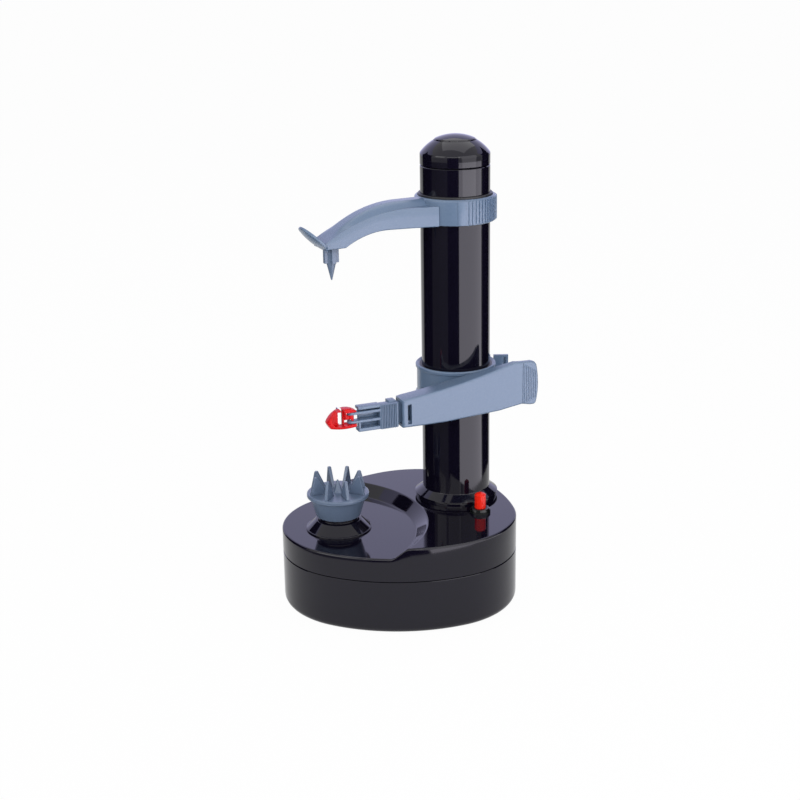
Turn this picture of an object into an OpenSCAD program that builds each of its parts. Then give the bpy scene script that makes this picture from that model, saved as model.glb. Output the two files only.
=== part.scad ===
// Upright electric potato peeler: a motor turns the food on a pronged holder while a
// sprung arm with a small blade is carried down a column by a lead screw.
// Units are millimetres. Origin: centre of the base's footprint on the worktop,
// +X to the right, +Y to the back, +Z up.

/* [Base] */
// Height of the deck above the worktop
deck_height = 57.2; // [56.8:0.1:58.5]
// Height of the upper shell, from the line where the two shells meet to the deck
upper_shell_height = 22; // [21:0.1:23]
// Radius of the three rounded corners of the footprint
corner_radius = 54.2; // [53:0.1:56]
// Radius of the back side of the footprint
side_radius_back = 185; // [150:1:220]
// Radius of the front side of the footprint
side_radius_front = 100; // [90:1:120]
// Radius of the right side of the footprint
side_radius_right = 125; // [110:1:150]
// Wall thickness of the shells
wall = 2.2; // [1.8:0.1:2.4]
// Height of the rubber feet below the shell
foot_height = 1.5; // [1:0.1:2]
// Radius of the rounding around the bottom edge
bottom_round = 4.5; // [3:0.1:5]
// Depth of the tray below the deck
tray_depth = 6.6; // [5:0.1:7]
// Radius of the tray's rim at the deck
tray_rim_radius = 77.6; // [77:0.1:78.4]
// Radius of the tray's floor
tray_floor_radius = 70.4; // [70:0.1:72]

/* [Column] */
// Distance of the column's axis to the right of the footprint's centre
column_x = 38.2; // [37.5:0.1:39]
// Distance of the column's axis behind the footprint's centre
column_y = 21.5; // [20.5:0.1:22.5]
// Radius of the column tube
column_radius = 21.5; // [21.3:0.1:21.7]
// Wall thickness of the column tube
column_wall = 2.2; // [2:0.1:2.4]
// Overall height of the peeler
overall_height = 290; // [288:0.5:292]
// Height of the column's cap above its seam
cap_height = 18.6; // [17:0.1:20]
// Radius of the skirt at the column's foot
skirt_radius = 26.6; // [26:0.1:27]
// Width of the slot that the nut lever passes through
slot_width = 11.4; // [11:0.1:12]

/* [Drive] */
// Teeth of the turntable's gear
turntable_teeth = 55;
// Teeth of the small wheel of the second compound gear
idler_teeth = 34;
// Teeth of the lead screw's gear
screw_teeth = 46;
// Module of that train
train_module = 1;
// Teeth of the large wheel of the second compound gear
second_wheel_teeth = 60;
// Teeth of the small wheel of the first compound gear
first_pinion_teeth = 12;
// Module of that pair
second_module = 0.8;
// Teeth of the large wheel of the first compound gear
first_wheel_teeth = 60;
// Teeth of the motor's pinion
motor_teeth = 10;
// Module of that pair
first_module = 0.5;
// Direction from the turntable to the column, in degrees
line_azimuth = 27; // [26.5:0.1:27.5]
// Radius over the lead screw's crests
screw_radius = 5; // [4.5:0.1:5.2]
// Spacing of the lead screw's grooves
screw_pitch = 7; // [6:0.5:9]

/* [Food holders] */
// Radius of the pronged holder's flange
flange_radius = 19.4; // [19:0.1:20]
// Height of the flange's top above the worktop
flange_height = 74.7; // [74.2:0.1:75.2]
// Number of prongs
prong_count = 8; // [6:1:8]
// Height of the prongs above the flange
prong_height = 11.5; // [9:0.1:13]

/* [Top arm] */
// Distance from the cap's seam down to the top arm's collar
collar_drop = 17.8; // [16:0.1:19]
// Height of the collar
collar_height = 15.6; // [14:0.1:16]
// Outer radius of the collar
collar_radius = 25; // [24.6:0.1:25.4]
// Width of the top arm
top_arm_width = 17; // [16:0.1:18]
// Radius of the thumb dish
thumb_radius = 11; // [10:0.1:12]

/* [Blade arm] */
// Outer radius of the carriage ring
ring_radius = 25.4; // [25.2:0.1:25.6]
// Height of the carriage ring's upper rim
ring_top = 146.7; // [146.4:0.1:147]
// Height of the carriage ring
ring_height = 20.2; // [20:0.1:20.4]
// Direction of the blade arm, in degrees
blade_azimuth = 22; // [20:0.5:24]
// Distance from the column's axis to the arm's front face
arm_front = 40; // [39.6:0.1:40.4]
// Thickness of the blade arm
arm_thickness = 12; // [11.6:0.1:12]

/* [Button] */
// Position of the start button to the right
button_x = 52; // [51.5:0.1:52.5]
// Position of the start button to the back
button_y = -11.1; // [-11.6:0.1:-10.8]
// Radius of the start button
button_radius = 3.5; // [3.4:0.1:3.8]
// Height of the start button's tip above the worktop
button_top = 70.3; // [69.8:0.1:71]
// Travel of the start button
button_travel = 2.5; // [2:0.1:3]

/* [Hidden] */
$fn = 64;
black = [0.06, 0.06, 0.07];
steel = [0.72, 0.73, 0.75];
blue_grey = [0.45, 0.52, 0.62];
dark_blue = [0.24, 0.3, 0.4];
red = [0.85, 0.1, 0.08];
ivory = [0.9, 0.88, 0.8];
brass = [0.8, 0.65, 0.3];
green = [0.1, 0.4, 0.2];
run_gap = 0.05;      // radial clearance of a turning fit
slide_gap = 0.06;    // radial clearance of a sliding fit
seam_gap = 0.4;      // visible shadow line between two shells
piece_gap = 0.15;    // clearance between neighbouring pieces
eps = 0.01;

// footprint: three corner circles joined by tangent side arcs
corner_a = [12, 14.6];
corner_b = [-18.9, -9.8];
corner_c = [20.5, -10.8];
function side_centre(p, q, r) = let(m = (p + q) / 2, d = norm(q - p), n = [q[1] - p[1], p[0] - q[0]] / d,
    h = sqrt(pow(r - corner_radius, 2) - d * d / 4)) m - n * h;
function az(v) = atan2(v[1], v[0]);
function span(a, b) = (b - a + 720) % 360;
side_ab = side_centre(corner_a, corner_b, side_radius_back);
side_bc = side_centre(corner_b, corner_c, side_radius_front);
side_ca = side_centre(corner_c, corner_a, side_radius_right);
outline_arcs = [
    [side_ab, side_radius_back, az(corner_a - side_ab), az(corner_b - side_ab)],
    [corner_b, corner_radius, az(corner_b - side_ab), az(corner_b - side_bc)],
    [side_bc, side_radius_front, az(corner_b - side_bc), az(corner_c - side_bc)],
    [corner_c, corner_radius, az(corner_c - side_bc), az(corner_c - side_ca)],
    [side_ca, side_radius_right, az(corner_c - side_ca), az(corner_a - side_ca)],
    [corner_a, corner_radius, az(corner_a - side_ca), az(corner_a - side_ab)]];

// places of the axes
column_at = [column_x, column_y];
line_dir = [cos(line_azimuth), sin(line_azimuth)];
idler_gap = train_module * (idler_teeth + screw_teeth) / 2;
axis_gap = train_module * (turntable_teeth + 2 * idler_teeth + screw_teeth) / 2;
turntable_at = column_at - axis_gap * line_dir;
idler_at = column_at - idler_gap * line_dir;
first_azimuth = 105;
first_gap = second_module * (second_wheel_teeth + first_pinion_teeth) / 2;
first_at = idler_at + first_gap * [cos(first_azimuth), sin(first_azimuth)];
motor_azimuth = 150;
motor_gap = first_module * (first_wheel_teeth + motor_teeth) / 2;
motor_at = first_at + motor_gap * [cos(motor_azimuth), sin(motor_azimuth)];

parting_height = deck_height - upper_shell_height;
cap_seam_height = overall_height - cap_height;
collar_top = cap_seam_height - collar_drop;
tray_at = [-59.1, -25.3];
tray_floor = deck_height - tray_depth;
shell_bottom = foot_height;
floor_top = shell_bottom + wall;
tray_under = tray_floor - wall;
deck_under = deck_height - wall;
column_inner = column_radius - column_wall;
plinth_top = deck_height + 2.8;
plinth_radius = skirt_radius - 0.6;
skirt_top = plinth_top + 4.4;
spigot_bottom = deck_under - 4;

// heights of the drive
box_top = 20.2;              // top of the battery box
plate_bottom = box_top + 0.4;
plate_top = plate_bottom + 2.4;
train_bottom = plate_top + 1;
train_top = train_bottom + 6;
second_bottom = train_top + 0.8;
second_top = second_bottom + 4;
first_bottom = second_top + 1.6;
first_top = first_bottom + 3;
motor_radius = 10;
motor_bottom = 10.2;
motor_top = second_top - 0.4;
shaft_radius = 3;
pin_radius = 1.5;

// battery box
box_at = [0, -30.5];
cell_radius = 7.1;
cell_length = 50;
cell_pitch = 14.7;
box_x = 4 * cell_pitch + 1.4;
box_y = cell_length + 3.4;
box_wall = 1.4;

// column parts
cap_sphere_z = cap_seam_height - 8;
cap_sphere = cap_height + 7.9;
knob_radius = cap_height - 6;
knob_recess = 5.4;
bearing_z = cap_seam_height - 15.4;
slot_azimuth = 56;
slot_low = skirt_top + 27.6;
slot_high = collar_top - 27.6;
thread_low = slot_low - 2;
thread_high = slot_high + 2;

// carriage parts, in heights
ring_bottom = ring_top - ring_height;
ring_inner = column_radius + 1.4;
ear_low = ring_bottom + 3.6;
pivot_s = -8;                // along the arm from the column, towards the blade positive
pivot_p = 33;                // out from the column
pivot_pin_radius = 1.5;
lever_azimuth = 50;
lever_pin_at = 29.6;         // radius of the nut lever's pin from the column's axis
nut_azimuth = 132;
nut_height = 8;
lever_low = ring_bottom + 4.6;
lever_high = ring_bottom + 14.6;

// blade arm
arm_back = arm_front - arm_thickness;
arm_wall = 2;
cart_front = arm_front - 2.6;
cart_back = arm_back + 3;
cart_low = ring_bottom - 3.3;
cart_high = cart_low + 16.2;
pin_x = 84.6;                // blade holder's swivel pin along the arm
pin_p = 34.4;                // and out from the column
holder_pin_radius = 0.9;
holder_z = ring_bottom + 5.4;
tine_heights = [cart_low + 4.8, cart_low + 10.1];

foot_spots = [[-48, -36], [42, -46], [53, 20], [-42, 28]];
screw_spots = [[-57, 17], [-45, -50], [58, -32], [64.5, 6], [-8, 55]];
plate_spots = [[-38, 24], [40, 52], [26, 1], [-18, 11]];
jack_azimuth = 68;           // direction of the power socket from the back corner's centre
jack_height = 13;

// ---------- helpers ----------
function outline(inset) = [for (a = outline_arcs) let(w = span(a[2], a[3]), n = ceil(w / 6)) for (i = [0:n - 1])
    a[0] + (a[1] - inset) * [cos(a[2] + w * i / n), sin(a[2] + w * i / n)]];
module slab(inset, z0, z1) { translate([0, 0, z0]) linear_extrude(z1 - z0) polygon(outline(inset)); }
module at(p, z = 0) { translate([p[0], p[1], z]) children(); }
module tube(ro, ri, h) { difference() { cylinder(r = ro, h = h); translate([0, 0, -1]) cylinder(r = ri, h = h + 2); } }
module on_column(a) { at(column_at) rotate([0, 0, a]) children(); }
module on_top_arm() { on_column(180 + line_azimuth) children(); }
module on_blade_arm() { on_column(180 + blade_azimuth) children(); }
module box(x0, x1, y0, y1, z0, z1) { translate([x0, y0, z0]) cube([x1 - x0, y1 - y0, z1 - z0]); }

// involute gear outline
function inv(a) = tan(a) * 180 / PI - a;
function half_at(r, rp, n, m) = let(rb = rp * cos(20)) (90 - 7) / n + inv(20) - inv(acos(min(1, rb / max(r, rb))));
function polar(r, a) = [r * cos(a), r * sin(a)];
function gear_points(n, m) = let(rp = n * m / 2, ra = rp + 0.8 * m, rf = rp - 1.1 * m) [for (i = [0:n - 1]) each
    let(c = 360 * i / n) [polar(rf, c - half_at(rf, rp, n, m)), polar(rp, c - half_at(rp, rp, n, m)), polar(ra, c - half_at(ra, rp, n, m)),
        polar(ra, c + half_at(ra, rp, n, m)), polar(rp, c + half_at(rp, rp, n, m)), polar(rf, c + half_at(rf, rp, n, m))]];
module gear(n, m, h) { linear_extrude(h) polygon(gear_points(n, m)); }

// ---------- base ----------
module base_bottom() color(black) {
    difference() {
        union() {
            slab(bottom_round * 0.62, shell_bottom, shell_bottom + 1.2);
            slab(bottom_round * 0.2, shell_bottom + 1, shell_bottom + bottom_round * 0.5 + 0.1);
            slab(0, shell_bottom + bottom_round * 0.5, parting_height);
        }
        difference() {
            slab(wall, floor_top, parting_height + 1);
            for (p = screw_spots) at(p, floor_top - 1) cylinder(r = 4, h = parting_height - floor_top + 1);
            for (p = plate_spots) at(p, floor_top - 1) cylinder(r = 3.2, h = plate_bottom - floor_top + 1);
            at(box_at) box(-box_x / 2 - box_wall, box_x / 2 + box_wall, -box_y / 2 - box_wall, box_y / 2 + box_wall, floor_top - 1, box_top);
            at(motor_at, floor_top - 1) cylinder(r = 7, h = motor_bottom - floor_top + 1);
            // rib under the tongue that locates the upper shell
            difference() {
                slab(wall - 0.5, parting_height - 4, parting_height + 0.5);
                slab(wall + 1.6, parting_height - 5, parting_height + 2);
            }
        }
        at(box_at) box(-box_x / 2, box_x / 2, -box_y / 2, box_y / 2, shell_bottom - 1, box_top - box_wall);
        for (p = foot_spots) at(p, shell_bottom - 1) cylinder(r = 7 + piece_gap / 2, h = 1.8);
        for (p = screw_spots) {
            at(p, shell_bottom - 1) cylinder(r = 2.8, h = 7);
            at(p, shell_bottom - 1) cylinder(r = 1.6, h = 40);
        }
        for (p = plate_spots) at(p, floor_top + 4) cylinder(r = 1.2, h = 30);
        jack_place() translate([0, 0, corner_radius - 8]) cylinder(r = 4.1, h = 20);
    }
    // lugs and pins of the battery door's hinge
    at(box_at) for (x = door_hinge_x) {
        for (k = [-4.6, 3.2]) box(x + k, x + k + 1.4, door_pin_y - 1.2, box_y / 2 + 0.5, shell_bottom + 1, shell_bottom + 3.2);
        translate([x - 4, door_pin_y, door_pin_z]) rotate([0, 90, 0]) cylinder(r = 0.7, h = 8);
    }
    difference() {
        slab(wall + 0.1, parting_height - 1, parting_height + 2.5);
        slab(wall + 1.6, parting_height - 2, parting_height + 3);
        for (p = screw_spots) at(p, parting_height - 6) cylinder(r = 4.4, h = 10);
    }
}
module base_top() color(black) {
    difference() {
        union() {
            difference() {
                union() {
                    slab(0, parting_height + seam_gap, deck_height - 0.6);
                    slab(0.5, deck_height - 1, deck_height);
                    slab(1, parting_height + eps, parting_height + seam_gap + 0.5);
                }
                slab(wall, parting_height - 1, tray_under);
                difference() {
                    slab(wall, tray_under - 1, deck_under);
                    at(tray_at, tray_under - 2) cylinder(r = tray_rim_radius + wall, h = 12);
                }
            }
            at(column_at, deck_under - 1) cylinder(r = plinth_radius, h = plinth_top - deck_under + 1);
            for (p = screw_spots) at(p, parting_height + 0.2) cylinder(r = 4, h = deck_under + 0.5 - parting_height);
            at([button_x, button_y], deck_under - 3) cylinder(r = 7, h = 4);
        }
        at(tray_at, tray_floor) cylinder(r1 = tray_floor_radius, r2 = tray_rim_radius, h = tray_depth);
        at(tray_at, deck_height - eps) cylinder(r = tray_rim_radius, h = 4);
        at(column_at, deck_under - 4) cylinder(r = column_radius + slide_gap, h = 20);
        at(turntable_at, tray_under - 1) cylinder(r = 11, h = 6);
        at([button_x, button_y], deck_under - 4) cylinder(r = 5.2, h = 12);
        for (p = screw_spots) at(p, parting_height - 1) cylinder(r = 1.25, h = 11);
        for (a = [90, 210, 330]) on_column(a) translate([skirt_mid, 0, deck_under - 4]) cylinder(r = 1.5, h = 12);
    }
}
skirt_mid = column_radius + 2.3;
module rubber_feet() color(black) { for (p = foot_spots) at(p) cylinder(r = 7, h = foot_height + 0.8); }
module base_screws() color(steel) {
    for (p = screw_spots) {
        at(p, shell_bottom + 3.4) difference() { cylinder(r = 2.6, h = 2.6); translate([0, 0, -1]) { box(-2, 2, -0.4, 0.4, 0, 2.2); box(-0.4, 0.4, -2, 2, 0, 2.2); } }
        at(p, shell_bottom + 5.8) cylinder(r = 1.2, h = parting_height + 6 - shell_bottom - 5.8);
    }
}
door_hinge_x = [-cell_pitch, cell_pitch];   // between two cells
door_pin_y = box_y / 2 - 2.6;
door_pin_z = shell_bottom + 2;
module battery_door() color(black) {
    at(box_at) difference() {
        union() {
            box(-box_x / 2 + piece_gap, box_x / 2 - piece_gap, -box_y / 2 + piece_gap, door_pin_y - 1.5, shell_bottom, shell_bottom + 1.8);
            for (x = door_hinge_x) {
                translate([x - 3, door_pin_y, door_pin_z]) rotate([0, 90, 0]) cylinder(r = 1.4, h = 6);
                box(x - 3, x + 3, door_pin_y - 2, door_pin_y, shell_bottom + 0.9, shell_bottom + 2.6);
            }
            box(-6, 6, -box_y / 2 + 0.3, -box_y / 2 + 1.4, shell_bottom, shell_bottom + 3.2);
        }
        for (x = door_hinge_x) translate([x - 4, door_pin_y, door_pin_z]) rotate([0, 90, 0]) cylinder(r = 0.7 + run_gap, h = 8);
        for (i = [-2:2]) box(-6, 6, -box_y / 2 + 6 + i, -box_y / 2 + 6.5 + i, shell_bottom - 1, shell_bottom + 0.5);
    }
}
cell_z = shell_bottom + 2.9 + cell_radius;
module battery_cells() color(green) {
    for (i = [0:3]) at(box_at + [(i - 1.5) * cell_pitch, 0], cell_z) rotate([i % 2 == 0 ? 90 : -90, 0, 0]) {
        translate([0, 0, -cell_length / 2]) cylinder(r = cell_radius, h = cell_length - 1);
        translate([0, 0, cell_length / 2 - 1.2]) cylinder(r = 2.7, h = 1.2);
    }
}
module battery_contacts() color(steel) {
    for (i = [0:3], s = [-1, 1]) at(box_at + [(i - 1.5) * cell_pitch, s * (box_y / 2 - 0.3)], cell_z)
        box(-5.5, 5.5, -0.25, 0.25, -5, 5);
    for (s = [-1, 1]) at(box_at + [0, s * (box_y / 2 - 0.3)], cell_z) box(-cell_pitch / 2 - 2, cell_pitch / 2 + 2, -0.25, 0.25, 3, 4.6);
}
module jack_place() { at(corner_a, jack_height) rotate([0, 0, jack_azimuth]) rotate([0, 90, 0]) children(); }
module dc_socket() color(black) {
    difference() {
        union() {
            at(corner_a, jack_height) rotate([0, 0, jack_azimuth]) box(corner_radius - 15, corner_radius - wall - 0.4, -5, 5, -5.5, 5.5);
            jack_place() translate([0, 0, corner_radius - 6]) cylinder(r = 4, h = 5.6);
        }
        jack_place() translate([0, 0, corner_radius - 10]) cylinder(r = 2.8, h = 20);
    }
    jack_place() translate([0, 0, corner_radius - 11]) cylinder(r = 1, h = 9.6);
}

// ---------- drive ----------
module strut(p, q, w) { translate(p) rotate(az(q - p)) translate([0, -w / 2]) square([norm(q - p), w]); }
module gearbox_plate() color(ivory) {
    difference() {
        union() {
            at([0, 0], plate_bottom) linear_extrude(plate_top - plate_bottom) {
                strut(turntable_at, column_at, 22);
                for (c = [turntable_at, column_at]) translate(c) circle(r = 12);
                strut(plate_spots[3], plate_spots[0], 9);
                strut(column_at, plate_spots[1], 9);
                for (p = [plate_spots[2], plate_spots[3]]) strut(idler_at, p, 9);
                for (p = plate_spots) translate(p) circle(r = 5.2);
                strut(idler_at, first_at, 14);
                strut(first_at, motor_at, 14);
                translate(first_at) circle(r = 7.6);
                translate(motor_at) circle(r = motor_radius + 2.6);
            }
            at(motor_at, plate_bottom) cylinder(r = motor_radius + 1.8, h = 10);
        }
        at(motor_at, plate_bottom - 1) cylinder(r = motor_radius + 0.1, h = 20);
        at(turntable_at, plate_bottom - 1) cylinder(r = 4 + run_gap, h = 9);
        at(column_at, plate_bottom - 1) cylinder(r = shaft_radius + run_gap, h = 9);
        for (p = [idler_at, first_at]) at(p, plate_bottom - 1) cylinder(r = pin_radius, h = 9);
        for (p = plate_spots) at(p, plate_bottom - 1) cylinder(r = 1.4, h = 9);
    }
}
module plate_screws() color(steel) {
    for (p = plate_spots) {
        at(p, plate_top) cylinder(r = 2.3, h = 0.9);
        at(p, plate_bottom - 9) cylinder(r = 1.15, h = plate_top - plate_bottom + 9.2);
    }
}
module gear_pins() color(steel) {
    at(idler_at, plate_bottom) cylinder(r = pin_radius, h = second_top + 1 - plate_bottom);
    at(first_at, plate_bottom) cylinder(r = pin_radius, h = first_top + 1 - plate_bottom);
}
module motor() color(steel) {
    difference() {
        at(motor_at, motor_bottom) cylinder(r = motor_radius, h = motor_top - motor_bottom);
        at(motor_at, motor_top - 3) cylinder(r = 1 + run_gap, h = 5);
    }
    at(motor_at + [0, 0], motor_top) tube(3, 1 + run_gap, 0.8);
}
module motor_pinion() color(brass) {
    at(motor_at, motor_top - 2.8) cylinder(r = 1, h = first_top + 0.6 - motor_top + 2.8);
    at(motor_at, first_bottom) rotate(motor_azimuth + 180 + 180 / motor_teeth) gear(motor_teeth, first_module, first_top - first_bottom);
}
module first_gear() color(ivory) {
    difference() {
        at(first_at) union() {
            translate([0, 0, first_bottom]) rotate(motor_azimuth) gear(first_wheel_teeth, first_module, first_top - first_bottom);
            translate([0, 0, second_bottom]) rotate(first_azimuth + 180 + 180 / first_pinion_teeth) gear(first_pinion_teeth, second_module, second_top - second_bottom);
            translate([0, 0, plate_top + 0.2]) cylinder(r = 3, h = second_bottom - plate_top - 0.2);
            translate([0, 0, second_top - eps]) cylinder(r = 3, h = first_bottom - second_top + 0.02);
        }
        at(first_at, plate_top) cylinder(r = pin_radius + run_gap, h = 30);
    }
}
module second_gear() color(ivory) {
    difference() {
        at(idler_at) union() {
            translate([0, 0, train_bottom]) rotate(line_azimuth) gear(idler_teeth, train_module, train_top - train_bottom);
            translate([0, 0, second_bottom]) rotate(first_azimuth) gear(second_wheel_teeth, second_module, second_top - second_bottom);
            translate([0, 0, train_top - eps]) cylinder(r = 6, h = second_bottom - train_top + 0.02);
            translate([0, 0, plate_top + 0.2]) cylinder(r = 4, h = 1);
        }
        at(idler_at, plate_top) cylinder(r = pin_radius + run_gap, h = 30);
    }
}
module turntable_gear() color(ivory) {
    at(turntable_at, train_bottom) difference() {
        union() {
            rotate(line_azimuth + 180 / turntable_teeth) gear(turntable_teeth, train_module, train_top - train_bottom);
            translate([0, 0, -0.8]) cylinder(r = 7, h = 9);
        }
        translate([0, 0, -2]) cylinder(r = 4, h = 20);
        for (i = [0:4]) rotate(72 * i) translate([16.5, 0, -1]) cylinder(r = 6, h = 20);
    }
}
module turntable_shaft() color(steel) { at(turntable_at, plate_bottom + 0.2) cylinder(r = 4, h = flange_height - 5 - plate_bottom); }
module screw_gear() color(ivory) {
    at(column_at, train_bottom) difference() {
        union() {
            rotate(line_azimuth + 180 + 180 / screw_teeth) gear(screw_teeth, train_module, train_top - train_bottom);
            translate([0, 0, -0.8]) cylinder(r = 6, h = 9);
        }
        translate([0, 0, -2]) cylinder(r = shaft_radius, h = 20);
        for (i = [0:4]) rotate(72 * i) translate([13.5, 0, -1]) cylinder(r = 4.5, h = 20);
    }
}
grooves = floor((thread_high - thread_low) / screw_pitch);
module lead_screw() color(ivory) {
    at(column_at) rotate_extrude() polygon(concat(
        [[0, plate_bottom + 0.2], [shaft_radius, plate_bottom + 0.2], [shaft_radius, thread_low - 2], [screw_radius, thread_low - 1]],
        [for (i = [0:grooves - 1]) let(z = thread_low + (i + 0.5) * screw_pitch) each
            [[screw_radius, z - 2.2], [screw_radius - 1.4, z - 1.2], [screw_radius - 1.4, z + 1.2], [screw_radius, z + 2.2]]],
        [[screw_radius, thread_high + 1], [shaft_radius, thread_high + 2], [shaft_radius, bearing_z + 6], [0, bearing_z + 6]]));
}
module upper_bearing() color(ivory) {
    at(column_at, bearing_z) difference() {
        cylinder(r = column_inner - run_gap, h = 4);
        translate([0, 0, -1]) cylinder(r = shaft_radius + run_gap, h = 6);
        for (i = [0:3]) rotate(90 * i + 20) translate([11.5, 0, -1]) cylinder(r = 4.4, h = 6);
    }
}

// ---------- column ----------
module column_tube() color(black) {
    difference() {
        at(column_at) union() {
            translate([0, 0, spigot_bottom]) cylinder(r = column_radius, h = cap_seam_height - spigot_bottom);
            translate([0, 0, plinth_top]) cylinder(r = skirt_radius, h = 0.6);
            translate([0, 0, plinth_top + 0.6 - eps]) cylinder(r1 = skirt_radius, r2 = column_radius, h = skirt_top - plinth_top - 0.6);
        }
        at(column_at, spigot_bottom - 1) cylinder(r = column_inner, h = overall_height);
        on_column(slot_azimuth) box(column_inner - 2, column_radius + 2, -slot_width / 2, slot_width / 2, slot_low, slot_high);
        for (a = [90, 210, 330]) on_column(a) translate([skirt_mid, 0, plinth_top - 1]) cylinder(r = 0.9, h = 2.6);
    }
}
module column_screws() color(steel) {
    for (a = [90, 210, 330]) on_column(a) translate([skirt_mid, 0, deck_under - 2.2]) {
        cylinder(r = 2.2, h = 1.15);
        cylinder(r = 0.88, h = plinth_top + 1.3 - deck_under + 2.2);
    }
}
module column_cap() color(black) {
    at(column_at) difference() {
        union() {
            intersection() {
                translate([0, 0, cap_seam_height + seam_gap]) cylinder(r = column_radius, h = 30);
                translate([0, 0, cap_sphere_z]) sphere(r = cap_sphere);
            }
            translate([0, 0, cap_seam_height - 5]) cylinder(r = column_inner - run_gap, h = 6);
        }
        translate([0, 0, cap_seam_height - 6]) cylinder(r = column_inner - 1.6, h = 10);
        intersection() {
            translate([0, 0, cap_seam_height + 3]) cylinder(r = column_inner, h = cap_height - 11);
            translate([0, 0, cap_sphere_z]) sphere(r = cap_sphere - 2.2);
        }
        translate([0, 0, overall_height - knob_recess]) cylinder(r = knob_radius + 0.3, h = 10);
        translate([0, 0, overall_height - 12]) cylinder(r = 3, h = 10);
    }
}
module cap_knob() color(black) {
    at(column_at) {
        intersection() {
            translate([0, 0, overall_height - knob_recess]) cylinder(r = knob_radius, h = 10);
            translate([0, 0, overall_height - 30]) sphere(r = 30);
        }
        translate([0, 0, overall_height - 11]) cylinder(r = 3, h = 6);
    }
}
module stop_switch() color(black) {
    on_column(slot_azimuth + 180) {
        intersection() {
            box(10, 19, -6, 6, deck_height + 2.8, deck_height + 11.8);
            translate([0, 0, deck_height]) cylinder(r = column_inner - 0.1, h = 20);
        }
        translate([14, 0, deck_height + 11.7]) cylinder(r = 1.4, h = 1.6);
    }
}

// ---------- button and electrics ----------
module switch_bezel() color(black) {
    at([button_x, button_y]) difference() {
        union() {
            translate([0, 0, deck_height]) cylinder(r = 6.5, h = 2.2);
            translate([0, 0, deck_height + 2.2 - eps]) cylinder(r1 = 6.5, r2 = 5.6, h = 0.9);
            translate([0, 0, deck_under - 2]) cylinder(r = 5.1, h = 5);
        }
        translate([0, 0, deck_under - 3]) cylinder(r = button_radius + slide_gap, h = 20);
        for (i = [0:5]) rotate(60 * i + 15) box(5.6, 8, -1, 1, deck_height + 1, deck_height + 6);
    }
}
module push_button() color(red) {
    at([button_x, button_y]) {
        translate([0, 0, deck_under - 3.2]) cylinder(r = button_radius, h = button_top - button_radius * 1.25 - deck_under + 3.2);
        intersection() {
            translate([0, 0, button_top - button_radius * 1.25 - 0.01]) cylinder(r = button_radius, h = 8);
            translate([0, 0, button_top - 4.9]) sphere(r = 4.9);
        }
        translate([0, 0, deck_under - 4.9]) cylinder(r = 6, h = 1.8);
        translate([0, 0, deck_under - 6.4]) cylinder(r = 1.6, h = 3);
    }
}
switch_top = deck_under - 10.1;
// coil of a wire: a ring sector swept up a helix
module coil(r, wire, h, turns) {
    sector = min(300, 360 * wire / (h / turns));
    steps = ceil(sector / 40);
    linear_extrude(height = h, twist = -360 * turns, slices = ceil(14 * turns), $fn = 3)
        polygon(concat([for (i = [0:steps]) polar(r + wire / 2, sector * i / steps)], [for (i = [steps:-1:0]) polar(r - wire / 2, sector * i / steps)]));
}
module button_spring() color(steel) { at([button_x, button_y], switch_top + 0.1) coil(4.6, 0.7, deck_under - 4.9 - switch_top - 0.2, 3); }
module start_switch() color(black) {
    at([button_x, button_y]) {
        box(-6.5, 6.5, -6, 6, switch_top - 7 + eps, switch_top);
        translate([0, 0, switch_top - eps]) cylinder(r = 1.3, h = 1.2);
    }
}
module circuit_board() color(green) { box(button_x - 13, button_x + 11, button_y - 10, button_y + 11, switch_top - 8.6, switch_top - 7); }

// ---------- turntable ----------
module hub_cone() color(black) {
    at(turntable_at) difference() {
        union() {
            translate([0, 0, tray_floor]) cylinder(r = 20.5, h = 0.9);
            translate([0, 0, tray_floor + 0.9 - eps]) cylinder(r1 = 19.8, r2 = 14, h = 5.8);
            translate([0, 0, tray_floor + 6.6]) cylinder(r = 12, h = 2.1);
            translate([0, 0, tray_under - 4]) cylinder(r = 10.9, h = wall + 5);
        }
        translate([0, 0, tray_under - 5]) cylinder(r = 4 + run_gap, h = 20);
    }
}
cup_bottom = tray_floor + 9;
module prong_holder() color(dark_blue) {
    at(turntable_at) {
        difference() {
            union() {
                translate([0, 0, cup_bottom]) cylinder(r1 = 13.9, r2 = 17.3, h = flange_height - 2.8 - cup_bottom);
                translate([0, 0, flange_height - 2.8]) cylinder(r = flange_radius, h = 2.2);
                translate([0, 0, flange_height - 0.61]) cylinder(r1 = flange_radius, r2 = flange_radius - 0.6, h = 0.61);
                translate([0, 0, flange_height - eps]) cylinder(r1 = 3, r2 = 0.4, h = 8);
            }
            translate([0, 0, cup_bottom - 1]) cylinder(r = 4, h = flange_height - 4.8 - cup_bottom + 1);
            translate([0, 0, cup_bottom - 1]) difference() { cylinder(r = 12.2, h = flange_height - 5 - cup_bottom); translate([0, 0, -1]) cylinder(r = 6.4, h = 30); }
        }
    }
}

// prongs stand on the flange
module prong_fins() color(dark_blue) {
    at(turntable_at, flange_height) for (i = [0:prong_count - 1]) rotate(360 / prong_count * (i + 0.5)) rotate([90, 0, 0]) translate([0, 0, -1]) linear_extrude(2)
        polygon([[7.5, 0], [flange_radius - 1.4, 0], [flange_radius - 1.4, 0.6], [15.4, prong_height], [13.8, prong_height]]);
}

// ---------- top arm ----------
arm_end = 91.5;
shoulder = collar_top - 3.8;     // the arm's upper edges beside its crown
function arc_top(x, x0, top, r) = x < x0 ? top : top - r + sqrt(r * r - pow(x - x0, 2));
function edge_line(x) = arc_top(x, 34, shoulder, 110);
function crown_line(x) = max(edge_line(x), arc_top(x, 40, collar_top - 0.2, 72));
function under_line(x) = max(collar_top - 24, arc_top(x, 50, collar_top - collar_height - 0.4, 54));
arm_steps = [for (i = [0:26]) 22 + (arm_end - 22) * i / 26];
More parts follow.
